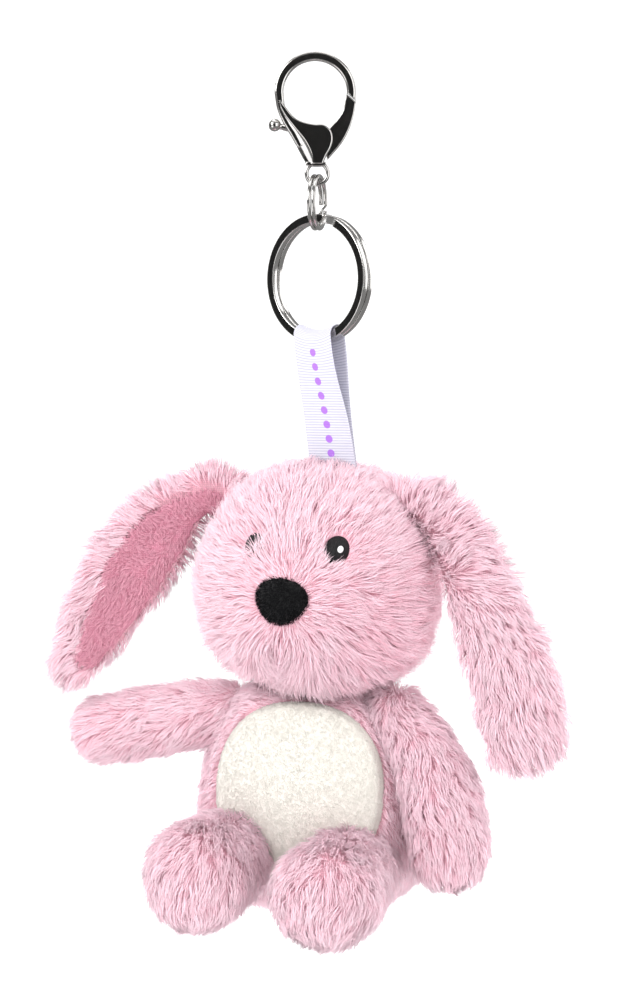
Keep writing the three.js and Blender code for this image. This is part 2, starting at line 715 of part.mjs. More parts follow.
function addLimb(name, shape) {
  const start = new THREE.Vector3(...shape.path[0]);
  const back = new THREE.Vector3(...shape.path[1]).sub(start).normalize();
  const hole = new THREE.CylinderGeometry(2.4, 2.4, 10, 6);
  hole.applyQuaternion(new THREE.Quaternion().setFromUnitVectors(new THREE.Vector3(0, 1, 0), back));
  hole.translate(...start.clone().addScaledVector(back, -shape.sections[0][1]).toArray());
  const outside = limb(shape);
  const inside = limb({ ...shape, inset: coverThickness });
  addPiece(`${name}_cover`, cut(outside, inside, toSolid(hole)), plush);
  addPiece(`${name}_stuffing`, limb({ ...shape, inset: coverThickness + seatGap }), fibre);
}

addClasp();
addRings();
addPiece('ribbon_loop', ribbonLoop(), grosgrain);
addHead();
addFace();
addTorso();
for (const side of sides) {
  addEar(side);
  addLimb(`arm_${side}`, arms[side]);
  addLimb(`leg_${side}`, legs[side]);
}

export default group;
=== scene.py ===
import bpy
import bmesh
import json
import math
import numpy as np
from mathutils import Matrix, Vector
from mathutils.bvhtree import BVHTree
from mathutils.kdtree import KDTree


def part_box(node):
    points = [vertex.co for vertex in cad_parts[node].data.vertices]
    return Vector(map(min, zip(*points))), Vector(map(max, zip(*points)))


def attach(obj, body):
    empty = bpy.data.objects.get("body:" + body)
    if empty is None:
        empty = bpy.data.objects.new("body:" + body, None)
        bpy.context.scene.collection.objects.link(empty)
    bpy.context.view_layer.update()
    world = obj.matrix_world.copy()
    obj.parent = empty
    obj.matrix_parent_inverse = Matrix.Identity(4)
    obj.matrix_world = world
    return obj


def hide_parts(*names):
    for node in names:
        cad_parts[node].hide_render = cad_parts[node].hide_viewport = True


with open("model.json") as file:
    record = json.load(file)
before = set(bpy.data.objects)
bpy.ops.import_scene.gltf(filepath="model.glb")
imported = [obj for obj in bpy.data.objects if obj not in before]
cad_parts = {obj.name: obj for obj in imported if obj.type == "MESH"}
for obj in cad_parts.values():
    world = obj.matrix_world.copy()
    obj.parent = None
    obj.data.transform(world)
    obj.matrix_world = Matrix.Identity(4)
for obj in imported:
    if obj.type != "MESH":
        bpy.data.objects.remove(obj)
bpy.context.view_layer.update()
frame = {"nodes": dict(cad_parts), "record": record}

MM = 0.001
RADIANS = math.pi / 180
HARDWARE_YAW = 18 * RADIANS
LARGE_RING_YAW = -23 * RADIANS
SMALL_RING_YAW = 94.4 * RADIANS


# ---- places from the frame ----
def corners(node):
    low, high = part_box(node)
    return np.array(low) / MM, np.array(high) / MM


def middle(node):
    low, high = corners(node)
    return (low + high) / 2


def joint_place(name):
    for joint in frame["record"]["behaviour"]["joints"]:
        if joint["name"] == name:
            return np.array(joint["pos_m"]) / MM
    raise KeyError(name)


def node_arrays(node):
    mesh = frame["nodes"][node].data
    mesh.calc_loop_triangles()
    points = np.empty(len(mesh.vertices) * 3)
    mesh.vertices.foreach_get("co", points)
    faces = np.empty(len(mesh.loop_triangles) * 3, np.int32)
    mesh.loop_triangles.foreach_get("vertices", faces)
    return points.reshape(-1, 3) / MM, faces.reshape(-1, 3)


# ---- camera: azimuth 18 degrees, just above level ----
def add_camera():
    azimuth, elevation, distance = 18 * RADIANS, 3 * RADIANS, 0.700
    aim = Vector((-0.0004 * math.cos(azimuth), -0.0004 * math.sin(azimuth), -0.109))
    back = Vector((
        math.sin(azimuth) * math.cos(elevation),
        -math.cos(azimuth) * math.cos(elevation),
        math.sin(elevation),
    ))
    data = bpy.data.cameras.new("camera")
    data.lens = 100.8
    data.sensor_width = 36
    data.clip_start, data.clip_end = 0.01, 20
    camera = bpy.data.objects.new("camera", data)
    bpy.context.collection.objects.link(camera)
    camera.location = aim + back * distance
    camera.rotation_mode = "QUATERNION"
    camera.rotation_quaternion = (-back).to_track_quat("-Z", "Y")
    bpy.context.scene.camera = camera


add_camera()


# ---- small tools ----
def unit(vectors):
    size = np.linalg.norm(vectors, axis=-1, keepdims=True)
    return vectors / np.maximum(size, 1e-9)


def smoothstep(value, low, high):
    t = np.clip((value - low) / (high - low), 0, 1)
    return t * t * (3 - 2 * t)


def swirl(points, scale, seed, waves=7):
    """Smooth noise in three directions, about 1 in size, whose features are about scale mm across."""
    rng = np.random.default_rng(seed)
    turns = rng.normal(size=(3, waves)) * (2.4 / scale)
    phase = rng.uniform(0, 2 * math.pi, waves)
    ways = rng.normal(size=(waves, 3)) / math.sqrt(waves / 2)
    return np.sin(points @ turns + phase) @ ways


def hashed(cells, salt):
    """A fixed random number from 0 to 1 for each row of whole numbers."""
    c = cells.astype(np.int64)
    h = (c[:, 0] * 73856093) ^ (c[:, 1] * 19349663) ^ (c[:, 2] * 83492791) ^ (salt * 2654435761)
    h = (h ^ (h >> 13)) * 1274126177 & 0x7FFFFFFF
    h = (h ^ (h >> 15)) * 668265263 & 0x7FFFFFFF
    return (h ^ (h >> 12)) % 100003 / 100003.0


def new_object(name, points, faces):
    """A smooth mesh from arrays in mm. faces is one array of triangles or quads, or a list of tuples."""
    mesh = bpy.data.meshes.new(name)
    if isinstance(faces, np.ndarray):
        sides = faces.shape[1]
        mesh.vertices.add(len(points))
        mesh.vertices.foreach_set("co", (np.asarray(points) * MM).astype(np.float32).ravel())
        mesh.loops.add(faces.size)
        mesh.loops.foreach_set("vertex_index", faces.astype(np.int32).ravel())
        mesh.polygons.add(len(faces))
        mesh.polygons.foreach_set("loop_start", np.arange(0, faces.size, sides, dtype=np.int32))
        mesh.update(calc_edges=True)
    else:
        mesh.from_pydata([tuple(p) for p in np.asarray(points) * MM], [], faces, shade_flat=False)
        mesh.update()
    thing = bpy.data.objects.new(name, mesh)
    bpy.context.collection.objects.link(thing)
    return thing


def settle(thing):
    """Writes the object's modifiers into its mesh."""
    graph = bpy.context.evaluated_depsgraph_get()
    mesh = bpy.data.meshes.new_from_object(thing.evaluated_get(graph))
    old = thing.data
    thing.modifiers.clear()
    thing.data = mesh
    bpy.data.meshes.remove(old)
    mesh.name = thing.name
    smooth_faces(thing)
    return thing


def smooth_faces(thing):
    thing.data.polygons.foreach_set("use_smooth", [True] * len(thing.data.polygons))


def points_of(thing):
    points = np.empty(len(thing.data.vertices) * 3, np.float32)
    thing.data.vertices.foreach_get("co", points)
    return points.reshape(-1, 3).astype(float) / MM


def normals_of(thing):
    normals = np.empty(len(thing.data.vertices) * 3, np.float32)
    thing.data.vertex_normals.foreach_get("vector", normals)
    return normals.reshape(-1, 3).astype(float)


def move_points(thing, points):
    thing.data.vertices.foreach_set("co", (points * MM).astype(np.float32).ravel())
    thing.data.update()


def weld(thing, distance=1e-5):
    shape = bmesh.new()
    shape.from_mesh(thing.data)
    bmesh.ops.remove_doubles(shape, verts=shape.verts, dist=distance)
    bmesh.ops.recalc_face_normals(shape, faces=shape.faces)
    shape.to_mesh(thing.data)
    shape.free()
    return thing


def joined(name, things):
    """One object from several, which are used up. The first one's materials come first."""
    shape = bmesh.new()
    slots = []
    for thing in things:
        start = len(shape.faces)
        shape.from_mesh(thing.data)
        shape.faces.ensure_lookup_table()
        for material in thing.data.materials:
            if material not in slots:
                slots.append(material)
        index = slots.index(thing.data.materials[0]) if thing.data.materials else 0
        for face in shape.faces[start:]:
            face.material_index = index
    mesh = bpy.data.meshes.new(name)
    shape.to_mesh(mesh)
    shape.free()
    for material in slots:
        mesh.materials.append(material)
    for thing in things:
        old = thing.data
        bpy.data.objects.remove(thing)
        bpy.data.meshes.remove(old)
    whole = bpy.data.objects.new(name, mesh)
    bpy.context.collection.objects.link(whole)
    return whole


def grid_faces(rows, columns, around=False):
    """Quads between rows of points; around closes each row on itself."""
    wide = columns if around else columns - 1
    i, j = np.meshgrid(np.arange(rows - 1), np.arange(wide), indexing="ij")
    i, j = i.ravel(), j.ravel()
    k = (j + 1) % columns
    return np.stack([i * columns + j, i * columns + k, (i + 1) * columns + k, (i + 1) * columns + j], 1)


def tube(name, rings, closed=False):
    """A closed skin over rings of points, (count, sides, 3). The ends are closed with a fan each."""
    count, sides, _ = rings.shape
    points = rings.reshape(-1, 3)
    if closed:
        faces = grid_faces(count + 1, sides, True) % (count * sides)
        thing = new_object(name, points, faces)
    else:
        faces = [tuple(f) for f in grid_faces(count, sides, True).tolist()]
        first, last = len(points), len(points) + 1
        points = np.vstack([points, rings[0].mean(0), rings[-1].mean(0)])
        base = (count - 1) * sides
        for j in range(sides):
            k = (j + 1) % sides
            faces.append((first, k, j))
            faces.append((last, base + j, base + k))
        thing = new_object(name, points, faces)
    return weld(thing, 1e-7)


def finish_piece(thing, body, material=None, replaces=()):
    if material is not None:
        thing.data.materials.clear()
        thing.data.materials.append(material)
    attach(thing, body)
    if replaces:
        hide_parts(*replaces)
    return thing


# ---- materials ----
class Nodes:
    """A material with a Principled shader, and short ways to add nodes to it."""

    def __init__(self, name, roughness=0.5, metallic=0.0, colour=None, **sockets):
        self.material = bpy.data.materials.new(name)
        self.material.use_nodes = True
        self.tree = self.material.node_tree
        self.shader = self.tree.nodes["Principled BSDF"]
        self.shader.inputs["Roughness"].default_value = roughness
        self.shader.inputs["Metallic"].default_value = metallic
        if colour:
            self.shader.inputs["Base Color"].default_value = (*colour, 1)
        for name, value in sockets.items():
            self.shader.inputs[name.replace("_", " ")].default_value = value
        self.place = None

    def add(self, kind, **values):
        node = self.tree.nodes.new(kind)
        for key, value in values.items():
            if key in node.inputs:
                node.inputs[key].default_value = value
            else:
                setattr(node, key, value)
        return node

    def link(self, source, target):
        self.tree.links.new(source, target)

    def position(self, scale=(1, 1, 1)):
        """Object coordinates in mm, times scale."""
        if self.place is None:
            self.place = self.add("ShaderNodeTexCoord").outputs["Object"]
        stretch = self.add("ShaderNodeMapping")
        stretch.inputs["Scale"].default_value = tuple(1000 * s for s in scale)
        self.link(self.place, stretch.inputs["Vector"])
        return stretch.outputs["Vector"]

    def noise(self, size, detail=3.0, scale=(1, 1, 1), rough=0.5):
        node = self.add("ShaderNodeTexNoise", Scale=1.0 / size, Detail=detail, Roughness=rough)
        self.link(self.position(scale), node.inputs["Vector"])
        return node.outputs["Fac"]

    def waves(self, size, scale=(1, 1, 1), direction="X", distortion=0.0):
        node = self.add("ShaderNodeTexWave", Scale=math.pi / 10 / size, Distortion=distortion, Detail=1.0)
        node.bands_direction = direction
        self.link(self.position(scale), node.inputs["Vector"])
        return node.outputs["Fac"]

    def ramp(self, source, stops):
        node = self.add("ShaderNodeValToRGB")
        elements = node.color_ramp.elements
        while len(elements) < len(stops):
            elements.new(0.5)
        for element, (place, colour) in zip(elements, stops, strict=True):
            element.position = place
            element.color = (*colour, 1) if len(colour) == 3 else colour
        self.link(source, node.inputs["Fac"])
        return node.outputs["Color"]

    def mix(self, kind, factor, first, second):
        node = self.add("ShaderNodeMix", data_type="RGBA", blend_type=kind)
        node.clamp_result = True
        for value, socket in ((factor, 0), (first, 6), (second, 7)):
            if hasattr(value, "is_output"):
                self.link(value, node.inputs[socket])
            else:
                node.inputs[socket].default_value = value
        return node.outputs[2]

    def range(self, source, low, high, to_low, to_high):
        node = self.add("ShaderNodeMapRange")
        for key, value in (("From Min", low), ("From Max", high), ("To Min", to_low), ("To Max", to_high)):
            node.inputs[key].default_value = value
        self.link(source, node.inputs["Value"])
        return node.outputs["Result"]

    def math(self, operation, first, second):
        node = self.add("ShaderNodeMath", operation=operation)
        for value, socket in ((first, 0), (second, 1)):
            if hasattr(value, "is_output"):
                self.link(value, node.inputs[socket])
            else:
                node.inputs[socket].default_value = value
        return node.outputs["Value"]

    def to(self, source, socket):
        self.link(source, self.shader.inputs[socket])

    def bump(self, source, height_mm, strength=1.0):
        node = self.add("ShaderNodeBump", Strength=strength, Distance=height_mm * MM)
        self.link(source, node.inputs["Height"])
        if self.shader.inputs["Normal"].is_linked:
            before = self.shader.inputs["Normal"].links[0].from_socket
            self.link(before, node.inputs["Normal"])
        self.link(node.outputs["Normal"], self.shader.inputs["Normal"])


def fibre_material(name, root, mid, tip, spread, sheen=0.35):
    """Cut pile: each strand brings its own tone and its root-to-tip place in its UV map. The colour darkens
    from tip to root: painted shade deep in the pile.
    """
    n = Nodes(name, roughness=0.85, Sheen_Weight=sheen, Sheen_Roughness=0.5)
    n.shader.inputs["Sheen Tint"].default_value = (*tip, 1)
    n.shader.inputs["Specular IOR Level"].default_value = 0.2
    uv = n.add("ShaderNodeUVMap", uv_map="OFBake")
    parts = n.add("ShaderNodeSeparateXYZ")
    n.link(uv.outputs["UV"], parts.inputs["Vector"])
    # The root end of this ramp is darker than the tip: painted shade inside the pile.
    along = n.ramp(parts.outputs["Y"], [(0.0, root), (0.45, mid), (1.0, tip)])
    tone = n.ramp(parts.outputs["X"], spread)
    n.to(n.mix("MULTIPLY", 1.0, along, tone), "Base Color")
    rough = n.range(parts.outputs["X"], 0, 1, 0.7, 0.95)
    n.to(rough, "Roughness")
    return n.material


# Root colours, here and in the calls below, are darker than the tips: painted shade deep in the pile.
PINK_TIP = (0.94, 0.735, 0.805)
PINK_MID = (0.94, 0.64, 0.725)
PINK_ROOT_SHADE = (0.90, 0.44, 0.54)
plush_fibre = fibre_material(
    "plush_fibre", PINK_ROOT_SHADE, PINK_MID, PINK_TIP,
    [(0.0, (0.94, 0.62, 0.67)), (0.35, (0.99, 0.87, 0.90)), (0.7, (1, 1, 1)), (1.0, (0.99, 1, 1))],
)
lining_fibre = fibre_material(
    "lining_fibre", (0.58, 0.22, 0.30), (0.66, 0.29, 0.375), (0.73, 0.38, 0.465),
    [(0.0, (0.84, 0.74, 0.78)), (0.5, (1, 1, 1)), (1.0, (1, 1, 1))],
)
nose_fibre = fibre_material(
    "nose_fibre", (0.002, 0.002, 0.002), (0.004, 0.004, 0.005), (0.012, 0.012, 0.014),
    [(0.0, (0.5, 0.5, 0.5)), (0.6, (1, 1, 1)), (1.0, (1.6, 1.6, 1.6))], sheen=0.1,
)
cream_fibre = fibre_material(
    "cream_fibre", (0.76, 0.735, 0.675), (0.78, 0.76, 0.70), (0.81, 0.79, 0.735),
    [(0.0, (0.92, 0.90, 0.88)), (0.6, (1, 1, 1)), (1.0, (1, 1, 1))],
)


def knit_material(name, deep, pale, size=0.5):
    """The backing cloth of a pile fabric: fine crossed yarns with slow changes of tone."""
    n = Nodes(name, roughness=0.9, Sheen_Weight=0.3, Sheen_Roughness=0.5)
    yarn = n.mix("MULTIPLY", 1.0, n.waves(size, direction="X"), n.waves(size, direction="Z"))
    tone = n.mix("MIX", n.noise(3.0), (*deep, 1), (*pale, 1))
    n.to(n.mix("MULTIPLY", 0.25, tone, yarn), "Base Color")
    n.to(n.range(n.noise(1.0), 0.2, 0.8, 0.8, 0.98), "Roughness")
    n.bump(yarn, 0.06)
    return n.material


plush_cloth = knit_material("plush_cloth", (0.86, 0.42, 0.51), (0.92, 0.54, 0.63))
lining_cloth = knit_material("lining_cloth", (0.62, 0.22, 0.31), (0.72, 0.30, 0.40))
nose_cloth = knit_material("nose_cloth", (0.003, 0.003, 0.004), (0.008, 0.008, 0.009))


def metal_material(name, colour, smooth, rough, scratch=0.02):
    """Polished plating: slow changes of gloss, fine hairlines and a little dimpling."""
    n = Nodes(name, roughness=smooth, metallic=1.0)
    tone = n.ramp(n.noise(2.5, detail=4), [(0.3, tuple(0.88 * c for c in colour)), (0.7, colour)])
    n.to(tone, "Base Color")
    n.to(n.range(n.noise(1.2, detail=5), 0.3, 0.75, smooth, rough), "Roughness")
    n.bump(n.noise(0.5, detail=2, scale=(1, 1, 6)), scratch, 0.35)
    n.bump(n.noise(3.0, detail=1), scratch * 2, 0.25)
    return n.material


nickel = metal_material("polished_nickel", (0.66, 0.645, 0.63), 0.06, 0.13)
steel = metal_material("spring_steel", (0.42, 0.42, 0.43), 0.2, 0.35)


# ---- hardware ----
def turned(points, angle, place=(0, 0, 0)):
    """Points turned about Z and moved to place."""
    c, s = math.cos(angle), math.sin(angle)
    x, y, z = points[..., 0], points[..., 1], points[..., 2]
    return np.stack([x * c - y * s, x * s + y * c, z], -1) + np.asarray(place, float)


def rounded(angle, exponent):
    c, s = np.cos(angle), np.sin(angle)
    return np.sign(c) * np.abs(c) ** exponent, np.sign(s) * np.abs(s) ** exponent


def inset(line, distance):
    """The outline moved inwards by a distance for each point; it must run counterclockwise."""
    ahead = unit(np.roll(line, -1, 0) - line)
    normal = np.stack([-ahead[:, 1], ahead[:, 0]], 1)
    bisector = unit(normal + np.roll(normal, 1, 0))
    return line + bisector * distance[:, None]


def room_inside(line, most):
    """How far each outline point can move in before it meets the far side of the plate."""
    count = len(line)
    gaps = np.linalg.norm(line[:, None] - line[None], axis=2)
    steps = np.linalg.norm(np.roll(line, -1, 0) - line, axis=1)
    place = np.concatenate([[0], steps.cumsum()[:-1]])
    apart = np.abs(place[:, None] - place[None])
    apart = np.minimum(apart, steps.sum() - apart)
    gaps[apart < 3.0 * most + 0.3] = 99
    room = np.minimum(gaps.min(1) * 0.4, most)
    for _ in range(3):
        room = np.minimum(room, (np.roll(room, 1) + room + np.roll(room, -1)) / 3 + 0.02)
    return room[:count]


def plate(name, outline, thickness, bevel, steps=4):
    """A flat plate with rounded edges: outline in x and z, thickness along y, bevel in mm."""
    line = np.asarray(outline, float)
    if signed_area(line) < 0:
        line = line[::-1]
    keep = np.linalg.norm(np.roll(line, -1, 0) - line, axis=1) > 0.02
    line = line[keep]
    room = room_inside(line, bevel)
    layers = []
    turns = np.linspace(0, math.pi / 2, steps + 1)
    for t in turns:
        layers.append((1 - math.sin(t), -thickness / 2 + bevel * (1 - math.cos(t))))
    for t in turns[::-1]:
        layers.append((1 - math.sin(t), thickness / 2 - bevel * (1 - math.cos(t))))
    shape = bmesh.new()
    rows = []
    for distance, y in layers:
        flat = inset(line, distance * room)
        rows.append([shape.verts.new((x * MM, y * MM, z * MM)) for x, z in flat])
    count = len(line)
    for low, high in zip(rows, rows[1:]):
        for j in range(count):
            k = (j + 1) % count
            shape.faces.new((low[j], low[k], high[k], high[j]))
    for face in shape.faces:
        face.smooth = True
    caps = [shape.faces.new(rows[0][::-1]), shape.faces.new(rows[-1])]
    bmesh.ops.triangulate(shape, faces=caps)
    bmesh.ops.recalc_face_normals(shape, faces=shape.faces)
    mesh = bpy.data.meshes.new(name)
    shape.to_mesh(mesh)
    shape.free()
    thing = bpy.data.objects.new(name, mesh)
    bpy.context.collection.objects.link(thing)
    return thing


def smooth_line(corners, per=8, closed=True):
    """A Catmull-Rom line through corners; each is (x, z), with a third value of 1 where it stays sharp."""
    spots = [np.array(c[:2], float) for c in corners]
    sharp = [len(c) > 2 and c[2] for c in corners]
    count = len(spots)
    line = []
    for i in range(count if closed else count - 1):
        p1, p2 = spots[i], spots[(i + 1) % count]
        p0 = spots[i - 1] if (closed or i > 0) and not sharp[i] else p1 * 2 - p2
        runs_on = (closed or i + 2 < count) and not sharp[(i + 1) % count]
        p3 = spots[(i + 2) % count] if runs_on else p2 * 2 - p1
        for t in np.arange(per) / per:
            line.append(0.5 * (
                2 * p1 + (p2 - p0) * t + (2 * p0 - 5 * p1 + 4 * p2 - p3) * t**2
                + (3 * p1 - 3 * p2 - p0 + p3) * t**3
            ))
    if not closed:
        line.append(spots[-1])
    return np.array(line)


BOW_RADIUS = 7.8
BOW_WIDTH = 2.35
PIVOT = np.array([1.2, -18.6])  # the trigger's pin, in x and z of the clasp's own frame
GATE_CORNER = np.array([BOW_RADIUS + BOW_WIDTH, -10.2])
GATE_REACH = math.hypot(*(GATE_CORNER - PIVOT))
GATE_GAP = 0.3
GATE_THICKNESS, CLAW_THICKNESS = 2.3, 4.4
EYE_CENTRE, EYE_HOLE, EYE_WALL = (0.5, -27.75), 2.1, 1.1
STEM_ANGLE, BALL_REACH, BALL_RADIUS = 166 * RADIANS, 11.6, 1.6

# Corners in x and z. A third value of 1 marks a sharp one.
BOW_TAIL = [
    (-BOW_RADIUS - BOW_WIDTH / 2, -BOW_RADIUS), (-8.45, -11.6), (-7.1, -14.9), (-5.4, -17.9), (-3.6, -21.2),
]
CHEEK_EDGE = [(-9.6, -9.3), (-9.1, -11.9), (-6.95, -16.6), (-5.1, -20.1), (-3.4, -23.3), (-2.1, -25.6)]
CHEEK_RIDGE = [(-8.9, -10.2), (-7.6, -13.4), (-5.0, -16.8), (-2.5, -19.9), (-0.9, -23.1), (-0.5, -25.6)]
LOBE = [
    (-8.75, -9.7), (-7.5, -11.2), (-5.3, -13.9), (-3.0, -15.1), (-0.2, -15.7), (2.1, -15.8), (3.8, -17.1),
    (4.35, -19.1), (3.9, -21.3), (2.7, -23.6), (1.9, -25.5, 1), (-0.75, -25.5, 1), (-0.95, -23.2),
    (-2.5, -19.9), (-4.9, -16.9), (-7.5, -13.6), (-8.75, -11.2),
]
COLLAR = [(-2.1, -24.9, 1), (2.55, -24.9, 1), (2.75, -25.6), (1.6, -26.0), (-1.0, -26.0), (-2.3, -25.6)]
GATE_SIDES = [
    (9.55, -13.6), (8.4, -17.0), (6.5, -20.4), (3.1, -24.4, 1), (2.4, -21.8), (2.2, -18.6), (3.6, -16.5),
    (5.6, -14.3), (7.0, -11.9),
]


def bow_sweep():
    """The hook: a rounded bar that runs round the opening and thins into the claw's left edge."""
    angles = np.linspace(-15.2, 180, 120) * RADIANS
    mid = BOW_RADIUS + BOW_WIDTH / 2
    arc = np.stack([mid * np.cos(angles), -BOW_RADIUS + mid * np.sin(angles)], 1)
    tail = smooth_line(BOW_TAIL, 10, False)
    line = np.vstack([arc, tail[1:]])
    ahead = unit(np.gradient(line, axis=0))
    out = np.stack([ahead[:, 1], -ahead[:, 0]], 1)
    share = np.clip((np.arange(len(line)) - len(arc)) / len(tail), 0, 1)
    wide = BOW_WIDTH / 2 * (1 - 0.35 * share)
    deep = 1.4 + 0.3 * share
    around = np.linspace(0, 2 * math.pi, 28, endpoint=False)
    u, v = rounded(around, 0.48)
    rings = np.empty((len(line), len(around), 3))
    rings[..., 0] = line[:, None, 0] + out[:, None, 0] * u * wide[:, None]
    rings[..., 2] = line[:, None, 1] + out[:, None, 1] * u * wide[:, None]
    rings[..., 1] = v * deep[:, None]
    reach = GATE_REACH + GATE_GAP
    for ring in rings[:8]:
        away = ring[:, [0, 2]] - PIVOT
        size = np.linalg.norm(away, axis=1, keepdims=True)
        ring[:, [0, 2]] = PIVOT + away / size * np.maximum(size, reach)
    return tube("bow", rings[:, ::-1])


def claw_facet():
    """The claw's left cheek: a flat that falls away from the ridge to the outer edge."""
    outer = smooth_line(CHEEK_EDGE, 10, False)
    ridge = smooth_line(CHEEK_RIDGE, 10, False)
    grow = smoothstep(np.linspace(0, 1, len(outer)), 0, 0.3)
    edge = 0.75 + 0.25 * (1 - grow)
    crest = 1.45 + 0.65 * grow
    rings = []
    for (ox, oz), (rx, rz), e, c in zip(outer, ridge, edge, crest, strict=True):
        rings.append([
            (ox, -e + 0.2, oz), (ox + 0.12, -e, oz + 0.02), (rx - 0.06, -c, rz), (rx + 0.3, -c + 0.05, rz),
            (rx + 0.3, c - 0.05, rz), (rx - 0.06, c, rz), (ox + 0.12, e, oz + 0.02), (ox, e - 0.2, oz),
        ])
    return tube("facet", np.array(rings))


def claw_lobe():
    return plate("lobe", smooth_line(LOBE, 7), CLAW_THICKNESS, 0.35)


def eye_ring():
    """The clasp's eye: a flattened torus that the small ring passes through, with a collar over it."""
    around = np.linspace(0, 2 * math.pi, 64, endpoint=False)
    section = np.linspace(0, 2 * math.pi, 20, endpoint=False)
    u, v = rounded(section, 0.75)
    rings = np.empty((64, 20, 3))
    reach = EYE_HOLE + EYE_WALL / 2 + EYE_WALL / 2 * u
    rings[..., 0] = EYE_CENTRE[0] + np.cos(around)[:, None] * reach
    rings[..., 2] = EYE_CENTRE[1] + np.sin(around)[:, None] * reach
    rings[..., 1] = v * 1.0
    return tube("eye", rings[:, ::-1], closed=True)


def in_clasp(thing):
    move_points(thing, turned(points_of(thing), HARDWARE_YAW))
    return thing


def add_clasp():
    collar = plate("collar", smooth_line(COLLAR, 6), 3.4, 0.25)
    body = joined("clasp_casting", [bow_sweep(), claw_facet(), claw_lobe(), eye_ring(), collar])
    finish_piece(in_clasp(body), "clasp", nickel, ["clasp_body"])
    high = math.acos((BOW_RADIUS - PIVOT[0]) / GATE_REACH)
    low = math.atan2(*(GATE_CORNER - PIVOT)[::-1])
    turns = np.linspace(high, low, 6)
    tips = PIVOT + GATE_REACH * np.stack([np.cos(turns), np.sin(turns)], 1)
    outline = smooth_line([(*tips[0], 1), *map(tuple, tips[1:-1]), (*tips[-1], 1), *GATE_SIDES], 6)
    gate = plate("gate", outline, GATE_THICKNESS, 0.3)
    lever = joined("gate_lever", [gate, thumb_stem()])
    finish_piece(in_clasp(lever), "trigger", nickel, ["trigger_lever"])
    for node in ("trigger_pin", "trigger_spring"):
        frame["nodes"][node].data.materials.clear()
        frame["nodes"][node].data.materials.append(steel)


def signed_area(line):
    x, z = line[:, 0], line[:, 1]
    return 0.5 * np.sum(x * np.roll(z, -1) - np.roll(x, -1) * z)


def thumb_stem():
    """A tapering stem from the hub, with a necked round thumb ball at its end."""
    way = np.array([math.cos(STEM_ANGLE), math.sin(STEM_ANGLE)])
    side = np.array([-way[1], way[0]])
    profile = [(1.6, 0.8), (8.6, 0.8), (9.2, 0.78), (9.7, 0.72)]
    sweep = np.linspace(0.5, math.pi - 0.02, 16)
    ball = [(BALL_REACH - BALL_RADIUS * math.cos(a), BALL_RADIUS * math.sin(a)) for a in sweep]
    around = np.linspace(0, 2 * math.pi, 24, endpoint=False)
    rings = []
    for along, radius in profile + ball:
        flat = PIVOT + way * along
        out = radius * np.cos(around)
        rings.append(np.stack([flat[0] + side[0] * out, radius * np.sin(around), flat[1] + side[1] * out], 1))
    return tube("stem", np.array(rings))


RING_RADIUS, RING_WIDTH, RING_HEIGHT = 16.0, 2.1, 1.65
COIL_GAP = 0.2


def split_ring(name, node, body, radius, width, height, exponent, yaw, step_turn, place, sides=20, steps=260):
    """Two flat turns of wire that step from the front coil to the back one, with cut ends."""
    end = 7.5 * RADIANS
    turn = np.linspace(end, 4 * math.pi - end, steps)
    rise = smoothstep(turn, 2 * math.pi - 8.5 * RADIANS, 2 * math.pi + 8.5 * RADIANS)
    level = (height + COIL_GAP) / 2
    around = np.linspace(0, 2 * math.pi, sides, endpoint=False) + math.pi / sides
    u, v = rounded(around, exponent)
    reach = radius - width / 2 + u[None] * width / 2 + 0 * turn[:, None]
    y = (level * (2 * rise - 1))[:, None] + v[None] * height / 2
    x, z = reach * np.sin(turn)[:, None], reach * np.cos(turn)[:, None]
    c, s = math.cos(step_turn), math.sin(step_turn)
    rings = np.stack([x * c + z * s, y, -x * s + z * c], -1)
    thing = weld(tube(name, turned(rings, yaw, place)))
    return finish_piece(thing, body, nickel, [node])


def add_rings():
    small = joint_place("large_ring_swing")
    large = joint_place("ribbon_slide")
    split_ring("small_ring_steel", "small_split_ring", "small_ring", 7.0, 1.1, 0.95, 0.75,
               SMALL_RING_YAW, 100 * RADIANS, small, sides=16, steps=200)
    split_ring("large_ring_steel", "large_split_ring", "large_ring", RING_RADIUS, RING_WIDTH, RING_HEIGHT,
               0.24, LARGE_RING_YAW, 17 * RADIANS, large, sides=24, steps=360)


# ---- ribbon ----
RIBBON_WIDTH, RIBBON_THICKNESS, RIB_PITCH = 12.0, 0.42, 0.62
DOT_PITCH, DOT_RADIUS = 3.4, 0.93


